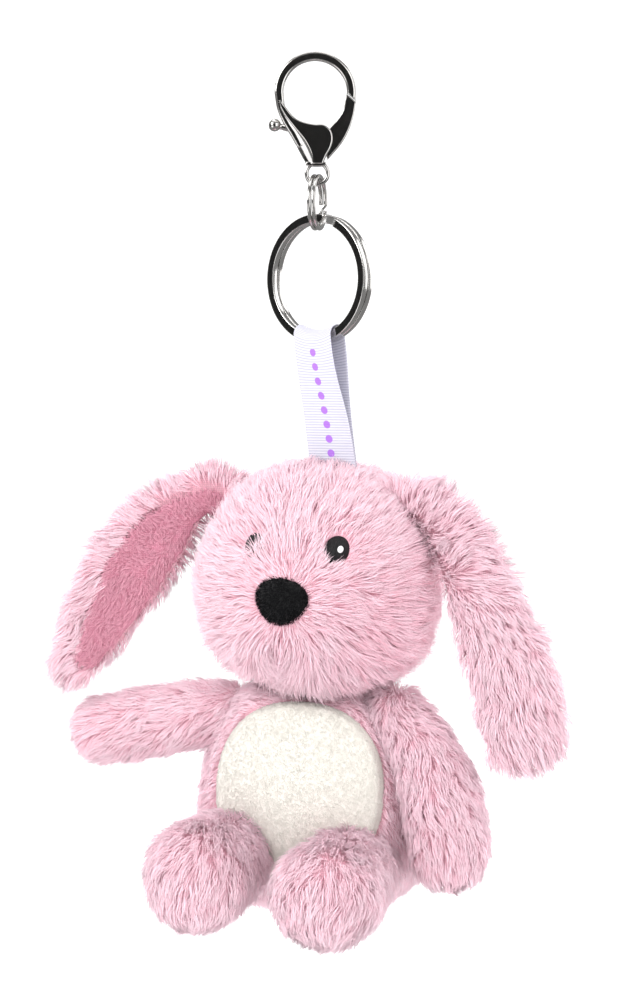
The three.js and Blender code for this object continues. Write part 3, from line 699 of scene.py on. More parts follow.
def ribbon_place(along, across, outward):
    """Where a point of the strip lies. along runs from -1, the front end, over the ring to 1, the back."""
    large = joint_place("ribbon_slide")
    seam = joint_place("ribbon_flex")
    fold_top = -large[2] + RING_RADIUS - RING_WIDTH - 1.3
    fold_half = RING_HEIGHT + COIL_GAP / 2 + 0.7 + 0.25
    fold_rise, fold_part, curve = 2.4, 0.16, RING_RADIUS - RING_WIDTH - 0.7
    fold_base = fold_top + fold_rise + 0.25
    strand = -seam[2] - fold_base
    side, past = np.sign(along), np.abs(along)
    turn = np.minimum(past / fold_part, 1) * math.pi / 2
    down = np.clip((past - fold_part) / (1 - fold_part), 0, 1)
    pinch = smoothstep(down, 0, 0.9)
    on_fold = past < fold_part
    mid = np.where(on_fold, side * fold_half * np.sin(turn), side * (fold_half + (0.5 - fold_half) * pinch))
    z = np.where(on_fold, -fold_base + fold_rise * np.cos(turn), -fold_base - strand * down)
    normal_y = np.where(on_fold, side * np.sin(turn), side)
    normal_z = np.where(on_fold, np.cos(turn), 0.0)
    lift = (curve - np.sqrt(curve**2 - across**2)) * np.maximum(0, 1 - down * 3)
    yaw = LARGE_RING_YAW * (1 - smoothstep(down, 0.05, 0.95))
    depth = mid + normal_y * outward
    depth = depth + side * 0.25 * np.sin(down * math.pi * 2.2) * (1 - pinch)
    x = large[0] + (seam[0] - large[0]) * down
    y = large[1] * (1 - down)
    return np.stack([
        x + across * np.cos(yaw) - depth * np.sin(yaw),
        y + across * np.sin(yaw) + depth * np.cos(yaw),
        z + lift + normal_z * outward,
    ], -1)


def ribbon_length(steps=400):
    line = ribbon_place(np.linspace(-1, 1, steps), np.zeros(steps), np.zeros(steps))
    return np.linalg.norm(np.diff(line, axis=0), axis=1).sum()


def add_ribbon():
    """Grosgrain: round cross ribs between two corded edges."""
    length = ribbon_length()
    rows = int(length / RIB_PITCH * 5)
    across = np.concatenate([[-6.0, -5.9, -5.6, -5.4], np.linspace(-5.1, 5.1, 15), [5.4, 5.6, 5.9, 6.0]])
    along = np.linspace(-1, 1, rows)
    a, c = np.meshgrid(along, across, indexing="ij")
    rib = np.abs(np.sin(math.pi * (a + 1) / 2 * length / RIB_PITCH + 0.04 * np.sin(c * 2.1)))
    edge = smoothstep(np.abs(c), 5.2, 5.7)
    rounding = np.sqrt(np.maximum(0, 1 - (np.abs(c) / 6.05) ** 24))
    bulge = RIBBON_THICKNESS / 2 * (0.62 + 0.38 * rib * (1 - 0.5 * edge)) * rounding
    front = ribbon_place(a, c, bulge)
    back = ribbon_place(a, c, -bulge)
    rings = np.concatenate([front, back[:, ::-1]], 1)
    thing = tube("grosgrain_ribbon", rings)
    count, sides = rings.shape[:2]
    uv = thing.data.uv_layers.new(name="Strip")
    place = points_of(thing)
    full = rings.reshape(-1, 3)
    tree = KDTree(len(full))
    for index, point in enumerate(full):
        tree.insert(point, index)
    tree.balance()
    run = np.repeat(np.arange(count), sides) / (count - 1)
    wide = np.tile(np.concatenate([across, across[::-1]]), count) / RIBBON_WIDTH + 0.5
    found = np.array([tree.find(p)[1] for p in place])
    loops = np.empty(len(thing.data.loops), np.int32)
    thing.data.loops.foreach_get("vertex_index", loops)
    coords = np.stack([wide[found], run[found]], 1)[loops]
    uv.data.foreach_set("uv", coords.astype(np.float32).ravel())
    finish_piece(thing, "ribbon", grosgrain_material(length), ["ribbon_loop"])


def grosgrain_material(length):
    n = Nodes("grosgrain", roughness=0.75, Sheen_Weight=0.35, Sheen_Roughness=0.4)
    uv = n.add("ShaderNodeUVMap", uv_map="Strip")
    parts = n.add("ShaderNodeSeparateXYZ")
    n.link(uv.outputs["UV"], parts.inputs["Vector"])
    ribs = n.math("MULTIPLY", parts.outputs["Y"], length / RIB_PITCH * math.pi)
    ridge = n.math("ABSOLUTE", n.math("SINE", ribs, 0.0), 0.0)
    # Painted shade: the colour darkens into the valleys between the ribs.
    cloth = n.ramp(ridge, [(0.0, (0.33, 0.32, 0.43)), (0.5, (0.55, 0.545, 0.63)), (1.0, (0.62, 0.615, 0.69))])
    tone = n.mix("MULTIPLY", 0.5, cloth, n.ramp(n.noise(4.0), [(0.3, (0.93, 0.92, 0.97)), (0.7, (1, 1, 1))]))
    # A plain row of printed dots down the front strand.
    run = n.math("MULTIPLY", parts.outputs["Y"], length / DOT_PITCH)
    from_dot = n.math("SUBTRACT", n.math("FRACT", run, 0.0), 0.5)
    up = n.math("MULTIPLY", from_dot, DOT_PITCH)
    over = n.math("MULTIPLY", n.math("SUBTRACT", parts.outputs["X"], 0.5), RIBBON_WIDTH)
    gap = n.math("SQRT", n.math("ADD", n.math("MULTIPLY", up, up), n.math("MULTIPLY", over, over)), 0.0)
    dot = n.range(gap, DOT_RADIUS + 0.05, DOT_RADIUS - 0.05, 0.0, 1.0)
    inside = n.math("MULTIPLY", dot, n.range(parts.outputs["Y"], 0.055, 0.056, 0.0, 1.0))
    inside = n.math("MULTIPLY", inside, n.range(parts.outputs["Y"], 0.392, 0.391, 0.0, 1.0))
    ink = n.mix("MIX", n.math("MULTIPLY", inside, 0.9), tone, (0.33, 0.10, 0.62, 1))
    n.to(ink, "Base Color")
    n.to(n.range(n.noise(0.8), 0.3, 0.7, 0.65, 0.85), "Roughness")
    warp = n.noise(0.22, detail=2, scale=(1, 1, 0.4))
    n.bump(warp, 0.05)
    return n.material


# ---- soft shapes ----
NECK = joint_place("neck_nod")
HEAD_RADII = np.array([29.3, 25.0, 26.5])
HEAD_FULLNESS, HEAD_TAPER = 0.8, 0.05
HEAD = middle("head_cover")
HEAD[2] = NECK[2] + 1.0 + HEAD_RADII[2]
TORSO_RADII = np.array([28.5, 22.5, 27.5])
TORSO = np.array([middle("torso_cover")[0], NECK[1], corners("torso_cover")[0][2] + TORSO_RADII[2]])
TORSO_FULLNESS, TORSO_TAPER = 0.55, 0.04
NOSE = middle("nose_pad")
NOSE_LOW, NOSE_HIGH = corners("nose_pad")
EYES = {side: middle(f"eye_{side}") for side in ("left", "right")}
EYE_SIZE = (2.95, 3.45)
EYE_SHIFT = {"left": np.array([2.3, 0, 0.6]), "right": np.array([-0.9, 0, 0.0])}
EYES = {side: EYES[side] + EYE_SHIFT[side] for side in EYES}
EYE_BASE = {"left": 0.4, "right": 0.9}  # height over the skin; the far one is sunk in the pile
GLINT_SHIFT = np.array([0.8, 0, 0.05])
ROOTS = {
    "ear_left": joint_place("ear_left_lift"), "ear_right": joint_place("ear_right_lift"),
    "arm_left": joint_place("arm_left_lower"), "arm_right": joint_place("arm_right_swing"),
    "leg_left": joint_place("leg_left_swing"), "leg_right": joint_place("leg_right_swing"),
}
BELLY = middle("belly_patch") * (1, 0, 1)
BELLY_HALF = np.array([21.8, 22.0])
BELLY_ROUND = 2.25  # exponent of the panel's outline


def egg_level(points, centre, radii, fullness=1.0, taper=0.0):
    """Under 1 inside an egg and over 1 outside it."""
    local = (points - centre) / radii
    ring = np.hypot(local[:, 0], local[:, 1]) / (1 - taper * np.clip(local[:, 2], -1, 1))
    return np.sqrt(ring ** (2 / fullness) + local[:, 2] ** 2)


def in_head(points):
    return egg_level(points, HEAD, HEAD_RADII, HEAD_FULLNESS, HEAD_TAPER)


def in_torso(points):
    return egg_level(points, TORSO, TORSO_RADII, TORSO_FULLNESS, TORSO_TAPER)


def egg(name, centre, radii, fullness=1.0, taper=0.0, level=5):
    shape = bmesh.new()
    bmesh.ops.create_icosphere(shape, subdivisions=level, radius=1)
    mesh = bpy.data.meshes.new(name)
    shape.to_mesh(mesh)
    shape.free()
    thing = bpy.data.objects.new(name, mesh)
    bpy.context.collection.objects.link(thing)
    points = points_of(thing) * MM
    ring = np.hypot(points[:, 0], points[:, 1])
    swell = np.maximum(ring, 1e-3) ** (fullness - 1) * (1 - taper * points[:, 2])
    points = np.stack([points[:, 0] * swell, points[:, 1] * swell, points[:, 2]], 1)
    move_points(thing, centre + points * radii)
    smooth_faces(thing)
    return thing


def remeshed(name, nodes, grow, voxel, rounds=6):
    """One soft skin from CAD nodes: joined, grown by grow mm, remeshed and smoothed."""
    points, faces = [], []
    for node in nodes:
        p, f = node_arrays(node)
        faces.append(f + sum(len(q) for q in points))
        points.append(p)
    thing = weld(new_object(name, np.vstack(points), np.vstack(faces)))
    smooth_faces(thing)
    move_points(thing, points_of(thing) + normals_of(thing) * grow)
    cubes = thing.modifiers.new("cubes", "REMESH")
    cubes.mode = "VOXEL"
    cubes.voxel_size = voxel * MM
    soft = thing.modifiers.new("soft", "SMOOTH")
    soft.factor = 0.5
    soft.iterations = rounds
    return settle(thing)


SIM_SCALE = 20.0


def inflated(thing, pressure=4.0, cap=1.2, frames=20):
    """Cloth under pressure, run at a larger scale, with every point's travel capped in mm."""
    start = points_of(thing)
    centre = start.mean(0)
    move_points(thing, (start - centre) * SIM_SCALE)
    cloth = thing.modifiers.new("cloth", "CLOTH")
    cloth.settings.quality = 5
    cloth.settings.use_pressure = True
    cloth.settings.uniform_pressure_force = pressure
    cloth.settings.tension_stiffness = 15
    cloth.settings.compression_stiffness = 15
    cloth.settings.shear_stiffness = 8
    cloth.settings.bending_stiffness = 1.0
    cloth.settings.effector_weights.gravity = 0
    cloth.collision_settings.use_collision = False
    cloth.point_cache.frame_start, cloth.point_cache.frame_end = 1, frames
    scene = bpy.context.scene
    for frame_number in range(1, frames + 1):
        scene.frame_set(frame_number)
    settle(thing)
    scene.frame_set(1)
    moved = points_of(thing) / SIM_SCALE + centre - start
    moved -= moved.mean(0)
    size = np.linalg.norm(moved, axis=1, keepdims=True)
    move_points(thing, start + moved * np.minimum(1, cap / np.maximum(size, 1e-6)))
    return thing


# ---- pile ----
def tangent(ways, normals):
    return unit(ways - np.sum(ways * normals, 1, keepdims=True) * normals)


MOST_STRANDS = 19500  # in one piece
DROOP = 0.05


def coat(name, skin, body, material, density, length, comb, keep=None, tone=None, reach=None,
         width=0.16, lift=(40, 10), clump=2.2, gather=0.42, seed=1, messy=0.18, glow=(0, 0, 0)):
    """Cut pile on a skin: closed three-sided strands that bend along comb, drawn together in tufts.

    comb(points, normals) gives the lie, keep the roots that stay, reach a length factor and tone a change of
    shade, which is painted shade. glow leans the shading normals of strands that stand in front of open air."""
    rng = np.random.default_rng(seed)
    skin.data.calc_loop_triangles()
    faces = np.empty(len(skin.data.loop_triangles) * 3, np.int32)
    skin.data.loop_triangles.foreach_get("vertices", faces)
    faces = faces.reshape(-1, 3)
    points, normals = points_of(skin), normals_of(skin)
    a, b, c = (points[faces[:, k]] for k in range(3))
    area = np.linalg.norm(np.cross(b - a, c - a), axis=1) / 2
    total = area.cumsum()
    count = int(total[-1] * density)
    pick = np.minimum(np.searchsorted(total, rng.uniform(0, total[-1], count)), len(faces) - 1)
    s, t = rng.uniform(size=(2, count))
    over = s + t > 1
    s, t = np.where(over, 1 - s, s), np.where(over, 1 - t, t)
    shares = np.stack([1 - s - t, s, t], 1)
    root = np.einsum("nk,nkd->nd", shares, points[faces[pick]])
    normal = unit(np.einsum("nk,nkd->nd", shares, normals[faces[pick]]))
    if keep is not None:
        stay = rng.uniform(size=count) < keep(root, normal)
        root, normal = root[stay], normal[stay]
        count = len(root)
    cells = np.floor((root + 0.4 * clump * swirl(root, 1.6 * clump, seed + 7)) / clump)
    centre = (cells + 0.5) * clump
    for axis in range(3):
        centre[:, axis] += (hashed(cells, axis + 11) - 0.5) * clump * 0.6
    way = comb(root, normal)
    tuft = np.stack([hashed(cells, 21 + k) - 0.5 for k in range(3)], 1)
    way = way + tuft * messy * 3.2 + swirl(root, 7.0, seed + 3) * messy
    way = way + rng.normal(size=(count, 3)) * messy * 0.55
    way = tangent(way, normal)
    size = length * (0.84 + 0.32 * hashed(cells, 31)) * rng.uniform(0.78, 1.08, count)
    if reach is not None:
        size = size * reach(root, normal)
    rise = (lift[0] + rng.normal(size=count) * 8 + (hashed(cells, 41) - 0.5) * 22) * RADIANS
    lean = (lift[1] + rng.normal(size=count) * 9 + (hashed(cells, 51) - 0.5) * 16) * RADIANS
    first = normal * np.sin(rise)[:, None] + way * np.cos(rise)[:, None]
    second = normal * np.sin(lean)[:, None] + way * np.cos(lean)[:, None]
    second[:, 2] -= DROOP
    inward = centre - root
    inward -= np.sum(inward * normal, 1, keepdims=True) * normal
    bottom = root - normal * 0.35
    bend = root + (first * 0.5 * size[:, None]) + inward * gather * 0.4
    tip = bend + second * 0.5 * size[:, None] + inward * gather * 0.6
    ahead = unit(tip - bottom)
    side = unit(np.cross(ahead, normal))
    up = np.cross(side, ahead)
    thick = width * rng.uniform(0.75, 1.25, count) * 0.5
    spin = rng.uniform(0, 2 * math.pi, count)
    strand = np.empty((count, 7, 3))
    shade = np.empty((count, 7, 3))
    for k in range(3):
        turn = spin + k * 2 * math.pi / 3
        out = side * np.cos(turn)[:, None] + up * np.sin(turn)[:, None]
        strand[:, k] = bottom + out * thick[:, None] * 1.1
        strand[:, 3 + k] = bend + out * thick[:, None]
        shade[:, k] = shade[:, 3 + k] = unit(normal * 0.7 + out * 0.5 + glow)
    strand[:, 6] = tip
    shade[:, 6] = unit(normal * 0.9 + ahead * 0.3 + glow)
    value = 0.30 + 0.34 * hashed(cells, 61) + rng.uniform(0, 0.30, count)
    # tone, where given, shifts the value here as painted shade.
    if tone is not None:
        value = value + tone(root, normal)
    value = np.clip(value, 0.03, 0.97)
    order = np.argsort(root[:, 0], kind="stable")
    parts = max(1, math.ceil(count / MOST_STRANDS))
    made = []
    for number, chosen in enumerate(np.array_split(order, parts), 1):
        label = name if parts == 1 else f"{name}_{number}"
        made.append(strand_mesh(label, strand[chosen], shade[chosen], value[chosen]))
        finish_piece(made[-1], body, material)
    return made


STRAND = np.array([
    (0, 4, 1), (0, 3, 4), (1, 5, 2), (1, 4, 5), (2, 3, 0),
    (2, 5, 3), (3, 6, 4), (4, 6, 5), (5, 6, 3), (0, 1, 2),
])


def strand_mesh(name, strand, shade, value):
    count = len(strand)
    faces = (STRAND[None] + 7 * np.arange(count)[:, None, None]).reshape(-1, 3)
    thing = new_object(name, strand.reshape(-1, 3), faces)
    uv = np.empty((count, 7, 2))
    uv[:, :, 0] = value[:, None] + np.array([-0.012, 0, 0.012, -0.012, 0, 0.012, 0])
    uv[:, :, 1] = np.array([0.02, 0.02, 0.02, 0.5, 0.5, 0.5, 0.98])
    layer = thing.data.uv_layers.new(name="OFBake")
    layer.data.foreach_set("uv", uv.reshape(-1, 2)[faces.ravel()].astype(np.float32).ravel())
    thing.data.normals_split_custom_set_from_vertices(shade.reshape(-1, 3).tolist())
    return thing


def away_from(spot):
    return lambda points, normals: tangent(points - spot, normals)


def along(way):
    return lambda points, normals: tangent(np.broadcast_to(np.array(way, float), points.shape), normals)


# ---- head ----
def face_gap(points, centre, half):
    """Distance in half-sizes from a spot on the face, over x and z; huge on the back of the head."""
    gap = np.hypot((points[:, 0] - centre[0]) / half[0], (points[:, 2] - centre[2]) / half[1])
    return np.where(points[:, 1] < HEAD[1], gap, 99.0)


def nose_shear(points):
    """The nose leans: its narrow end hangs towards -X and its right corner sits lower."""
    v = (points[:, 2] - NOSE[2]) / (NOSE_HIGH - NOSE_LOW)[2] * 2
    moved = points + 0
    moved[:, 0] += 1.2 * v - 0.9
    moved[:, 2] -= 0.14 * (points[:, 0] - NOSE[0])
    return moved


def nose_gap(points):
    half = (NOSE_HIGH - NOSE_LOW)[[0, 2]] / 2
    v = points[:, 2] - NOSE[2] + 0.14 * (points[:, 0] + 0.9 - NOSE[0])
    u = points[:, 0] - NOSE[0] + 0.9 - 1.2 * v / half[1]
    return np.where(points[:, 1] < HEAD[1], np.hypot(u / half[0], v / half[1]), 99.0)


def slit_gap(points):
    """Distance in half-sizes from the slanted slit where the far eye shows through the pile."""
    dx = points[:, 0] - EYES["left"][0] - 0.3
    dz = points[:, 2] - EYES["left"][2] - 0.6
    u, v = dx * 0.8 + dz * 0.6, dz * 0.8 - dx * 0.6
    return np.where(points[:, 1] < HEAD[1], np.hypot(u / 2.0, v / 0.85), 99.0)


MOUTH = np.array([HEAD[0] - 3.2, HEAD[1] - HEAD_RADII[1] * 0.8, HEAD[2] - 17.6])


def head_comb(points, normals):
    """The pile lies outwards from the nose, and falls at the back."""
    from_nose = unit(points - (NOSE + (0, 6, 0)))
    front = smoothstep(HEAD[1] + 14 - points[:, 1], 0, 16)[:, None]
    way = front * from_nose + (1 - front) * np.array([0, 0.2, -1.0])
    to_mouth = unit(MOUTH - points)
    near = np.exp(-np.sum((points - MOUTH) ** 2, 1) / 40)[:, None]
    way = way * (1 - 0.9 * near) + to_mouth * near * 0.9
    for eye in EYES.values():
        close = np.exp(-np.sum((points - eye) ** 2, 1) / 16)[:, None]
        way = way * (1 - 0.5 * close) + unit(points - eye) * close * 0.5
    return tangent(way, normals)


def head_keep(points, normals):
    stay = np.ones(len(points))
    stay[nose_gap(points) < 0.96] = 0
    stay[face_gap(points, EYES["right"], (EYE_SIZE[0] * 0.98, EYE_SIZE[1] * 0.98)) < 1] = 0
    stay[slit_gap(points) < 1] = 0
    ribbon = joint_place("ribbon_flex")
    strip = (np.abs(points[:, 0] - ribbon[0]) < 6.2) & (np.abs(points[:, 1] - ribbon[1]) < 1.0)
    strip &= points[:, 2] > HEAD[2]
    stay[strip] = 0
    stay[np.linalg.norm(points - NECK, axis=1) < 7] = 0
    return stay


def head_reach(points, normals):
    factor = np.ones(len(points))
    factor *= 0.45 + 0.55 * smoothstep(face_gap(points, EYES["right"], EYE_SIZE), 0.9, 2.2)
    factor *= 0.45 + 0.75 * smoothstep(slit_gap(points), 0.9, 2.2)
    factor *= 0.45 + 0.55 * smoothstep(nose_gap(points), 0.9, 2.0)
    beside = joint_place("ribbon_flex") + (10.0, 0, -1.0)
    factor *= 1 + 0.3 * np.exp(-np.sum((points - beside) ** 2, 1) / 20)
    return factor * (1 + 0.4 * smoothstep(HEAD[2] - points[:, 2], 6, 20))


def head_painted_shade(points, normals):
    """Painted shade: deeper at the mouth's crease and at the ears' roots, and over the lower right cheek, the
    side turned away from the key lamp.
    """
    shift = -0.5 * np.exp(-np.sum((points - MOUTH) ** 2, 1) / 14)
    for side in ("ear_left", "ear_right"):
        shift -= 0.4 * np.exp(-np.sum((points - ROOTS[side] - (0, -3, -5)) ** 2, 1) / 30)
    # Painted shade on the lower right cheek, away from the key lamp.
    cheek = smoothstep(points[:, 0], HEAD[0] - 2, HEAD[0] + 22)
    cheek = cheek * smoothstep(HEAD[2] + 12 - points[:, 2], 0, 14)
    return shift + 0.1 - 0.36 * cheek


def add_head():
    skin = egg("head_skin", HEAD, HEAD_RADII, HEAD_FULLNESS, HEAD_TAPER, level=6)
    points, normals = points_of(skin), normals_of(skin)
    push = -2.3 * np.exp(-np.sum(((points - MOUTH) / (2.2, 6, 4.0)) ** 2, 1))
    push += 1.0 * np.exp(-np.sum(((points - NOSE) / (11, 20, 9)) ** 2, 1))
    push += 0.5 * swirl(points, 18, 5)[:, 0]
    move_points(skin, points + normals * push[:, None])
    inflated(skin, 3.0, 0.8)
    coat("head_fur", skin, "head", plush_fibre, 6.6, 5.2, head_comb, head_keep, head_painted_shade,
         head_reach, seed=11, lift=(38, 10), gather=0.42, clump=2.0)
    finish_piece(skin, "head", plush_cloth, ["head_cover", "head_stuffing"])
    return skin


def on_face(x, z, lift):
    """Points on the head's front at x and z, raised by lift."""
    height = np.clip((z - HEAD[2]) / HEAD_RADII[2], -0.99, 0.99)
    ring = (1 - height**2) ** (HEAD_FULLNESS / 2) * (1 - HEAD_TAPER * height)
    y = HEAD[1] - HEAD_RADII[1] * np.sqrt(np.maximum(ring**2 - ((x - HEAD[0]) / HEAD_RADII[0]) ** 2, 0.01))
    point = np.stack([x, y, z], -1)
    normal = unit((point - HEAD) / HEAD_RADII**2)
    return point + normal * np.asarray(lift)[..., None]


def stitched_spot(name, centre, half, base, crown, thread, depth, slant, material, node):
    """An embroidered spot: satin stitches side by side over a slight dome, with turned-down edges."""
    rings, around = 26, 96
    radius = np.linspace(0.0, 1.0, rings)[1:]
    angle = np.linspace(0, 2 * math.pi, around, endpoint=False)
    r, a = np.meshgrid(radius, angle, indexing="ij")
    ragged = 1 + 0.02 * np.sin(a * 23) + 0.015 * np.sin(a * 41 + 1)
    x = centre[0] + half[0] * r * np.cos(a) * np.where(r > 0.97, ragged, 1)
    z = centre[2] + half[1] * r * np.sin(a) * np.where(r > 0.97, ragged, 1)
    cross = (x - centre[0]) * math.cos(slant) + (z - centre[2]) * math.sin(slant)
    stitch = np.abs(np.sin(math.pi * cross / thread))
    lift = base + crown * (1 - r**2) + depth * stitch * (1 - r**6)
    lift = np.where(r >= 0.999, base - 1.2, lift)
    top = on_face(x, z, lift)
    back = on_face(x[-1:], z[-1:], np.full_like(x[-1:], base - 1.8))
    points = np.concatenate([top.reshape(-1, 3), back.reshape(-1, 3)])
    faces = [tuple(f) for f in grid_faces(rings, around, True).tolist()]
    crown_point = on_face(np.array([centre[0]]), np.array([centre[2]]), np.array([base + crown]))
    rear = on_face(np.array([centre[0]]), np.array([centre[2]]), np.array([base - 1.8]))
    first, last = len(points), len(points) + 1
    points = np.vstack([points, crown_point, rear])
    end = (rings - 1) * around
    for j in range(around):
        k = (j + 1) % around
        faces.append((first, k, j))
        faces.append((last, end + j, end + k))
    thing = weld(new_object(name, points, faces), 1e-7)
    return finish_piece(thing, "head", material, [node])


def thread_material(name, dark, pale, gloss):
    n = Nodes(name, roughness=gloss, Sheen_Weight=0.04)
    n.shader.inputs["Specular IOR Level"].default_value = 0.4
    n.to(n.ramp(n.noise(0.5, detail=4), [(0.3, dark), (0.7, pale)]), "Base Color")
    n.to(n.range(n.noise(0.3), 0.3, 0.7, gloss * 0.8, gloss * 1.3), "Roughness")
    n.bump(n.waves(0.12, direction="X", distortion=1.0), 0.03)
    return n.material


def add_face():
    black = thread_material("black_thread", (0.002, 0.002, 0.003), (0.008, 0.008, 0.009), 0.45)
    white = thread_material("white_thread", (0.78, 0.78, 0.80), (0.93, 0.93, 0.93), 0.4)
    pink = thread_material("pink_thread", (0.55, 0.10, 0.20), (0.72, 0.2, 0.3), 0.5)
    for side in ("left", "right"):
        eye = EYES[side]
        base = EYE_BASE[side]
        stitched_spot(f"eye_{side}_embroidery", eye, EYE_SIZE, base, 0.75 * base / 0.9, 0.36, 0.1, 0.35,
                      black, f"eye_{side}")
        spot = eye + GLINT_SHIFT
        stitched_spot(f"eye_{side}_glint", spot, (0.66, 0.8), 2.9 * base - 0.86, 0.25, 0.28, 0.06, 0.35,
                      white, f"eye_{side}_highlight")
    skin = remeshed("nose_skin", ["nose_pad"], 0.35, 0.4, 8)
    move_points(skin, nose_shear(points_of(skin)))
    inflated(skin, 2.0, 0.3)
    coat("nose_pile", skin, "head", nose_fibre, 16, 1.0, away_from(NOSE + (0, 8, 3)), seed=21,
         keep=lambda p, n: (p[:, 1] < NOSE_HIGH[1] - 1.0) * 1.0, lift=(62, 40), clump=0.8, gather=0.15,
         width=0.13)
    finish_piece(skin, "head", nose_cloth, ["nose_pad"])
    centre = MOUTH + 0
    line = [(0.1, 2.4), (-0.2, 1.0), (0.1, -0.4), (-0.1, -1.8), (0.15, -3.0)]
    path = smooth_line(line, 8, False)
    around = np.linspace(0, 2 * math.pi, 12, endpoint=False)
    rings = []
    for u, v in path:
        spot = on_face(np.array([centre[0] + u]), np.array([centre[2] + v]), np.array([0.4]))[0]
        rings.append(spot + np.stack([0.45 * np.cos(around), 0.45 * np.sin(around), 0 * around], 1))
    finish_piece(tube("mouth_thread", np.array(rings)), "head", pink, ["mouth_stitch"])


# ---- torso, belly and limbs ----
def belly_gap(points):
    """Over 1 outside the belly panel's outline, on the front."""
    u = np.abs(points[:, 0] - BELLY[0]) / BELLY_HALF[0]
    v = np.abs(points[:, 2] - BELLY[2]) / BELLY_HALF[1]
    gap = (u**BELLY_ROUND + v**BELLY_ROUND) ** (1 / BELLY_ROUND)
    return np.where(points[:, 1] < TORSO[1] - 2, gap, 9.0)


def torso_comb(points, normals):
    """Down and outwards from the belly panel."""
    away = unit(points - (BELLY + (0, 0, 8)))
    down = np.array([0, 0, -1.0])
    near = np.exp(-np.maximum(belly_gap(points) - 1, 0) * 2.5)[:, None]
    return tangent(away * (0.35 + 0.5 * near) + down * (0.9 - 0.3 * near), normals)


def torso_keep(points, normals):
    stay = np.ones(len(points))
    stay[belly_gap(points) < 0.985] = 0
    for name, radius in (("arm_left", 5.2), ("arm_right", 5.2), ("leg_left", 8.0), ("leg_right", 8.0)):
        stay[np.linalg.norm(points - ROOTS[name], axis=1) < radius] = 0
    stay[in_head(points) < 0.9] = 0
    return stay


def torso_reach(points, normals):
    return 0.55 + 0.45 * smoothstep(belly_gap(points), 1.0, 1.25)


def add_torso():
    skin = egg("torso_skin", TORSO, TORSO_RADII, TORSO_FULLNESS, TORSO_TAPER, level=6)
    points, normals = points_of(skin), normals_of(skin)
    push = 0.5 * swirl(points, 20, 8)[:, 0]
    under = 1 - smoothstep(belly_gap(points), 0.97, 1.06)
    move_points(skin, points + normals * (push * (1 - under) - 1.4 * under)[:, None])
    inflated(skin, 3.0, 0.5)
    coat("torso_fur", skin, "torso", plush_fibre, 5.8, 5.8, torso_comb, torso_keep, None,
         torso_reach, seed=31, lift=(38, 10))
    neck = egg("neck_skin", NECK + (0, 0, -2.2), np.array([9.0, 9.0, 6.5]), level=4)
    add_belly()
    skin = joined("torso_cloth", [skin, neck])
    finish_piece(skin, "torso", plush_cloth, ["torso_cover", "torso_stuffing"])


def on_torso(x, z, lift):
    local_z = np.clip((z - TORSO[2]) / TORSO_RADII[2], -0.995, 0.995)
    ring = (np.sqrt(1 - local_z**2)) ** TORSO_FULLNESS * (1 - TORSO_TAPER * local_z)
    u = (x - TORSO[0]) / TORSO_RADII[0]
    y = TORSO[1] - TORSO_RADII[1] * np.sqrt(np.maximum(ring**2 - u**2, 0.02))
    point = np.stack([x, y, z], -1)
    depth = (y - TORSO[1]) / TORSO_RADII[1] ** 2
    slope = np.stack([u / TORSO_RADII[0], depth, local_z * 1.6 / TORSO_RADII[2]], -1)
    return point + unit(slope) * np.asarray(lift)[..., None]


def add_belly():
    """The cream panel: a sewn-in oval of short velour that crowns between its seams."""
    rings, around = 60, 160
    turns = np.linspace(0, 2 * math.pi, around, endpoint=False)
    r, a = np.meshgrid(np.linspace(0, 1, rings)[1:], turns, indexing="ij")
    c, s = np.cos(a), np.sin(a)
    size = r / (np.abs(c) ** BELLY_ROUND + np.abs(s) ** BELLY_ROUND) ** (1 / BELLY_ROUND)
    x, z = BELLY[0] + BELLY_HALF[0] * size * c, BELLY[2] + BELLY_HALF[1] * size * s
    flat = np.stack([x.ravel(), 0 * x.ravel(), z.ravel()], 1)
    ripple = swirl(flat, 9, 41)[:, 0].reshape(x.shape)
    pucker = np.sin(a * 46) * 0.10 * smoothstep(r, 0.86, 0.97) * (1 - smoothstep(r, 0.975, 1.0))
    lift = 1.15 + 0.2 * ripple * (1 - r**4) + pucker - 1.2 * smoothstep(r, 0.88, 1.0) ** 2
    front = on_torso(x, z, lift)
    back = on_torso(x, z, lift - 0.85)
    points = np.concatenate([front.reshape(-1, 3), back.reshape(-1, 3)])
    quads = grid_faces(rings - 1, around, True)
    half = (rings - 1) * around
    faces = [tuple(f[::-1]) for f in quads.tolist()] + [tuple(half + k for k in f) for f in quads.tolist()]
    hub = on_torso(np.array([BELLY[0]]), np.array([BELLY[2]]), np.array([1.25]))
    hub_back = on_torso(np.array([BELLY[0]]), np.array([BELLY[2]]), np.array([0.4]))
    rim = (rings - 2) * around
    points = np.vstack([points, hub, hub_back])
    for j in range(around):
        k = (j + 1) % around
        faces += [(2 * half, j, k), (2 * half + 1, half + k, half + j)]
        faces.append((rim + j, half + rim + j, half + rim + k, rim + k))
    panel = weld(new_object("belly_panel", points, faces), 1e-7)
    smooth_faces(panel)
    coat("belly_nap", panel, "torso", cream_fibre, 9, 0.65, along((0.1, 0, -1)),
         keep=lambda p, n: (n[:, 1] < 0.1) * (belly_gap(p) < 1.0) * 1.0, seed=51, lift=(50, 22), clump=1.1,
         gather=0.1, width=0.14, messy=0.08)
    finish_piece(panel, "torso", belly_material(), ["belly_patch"])


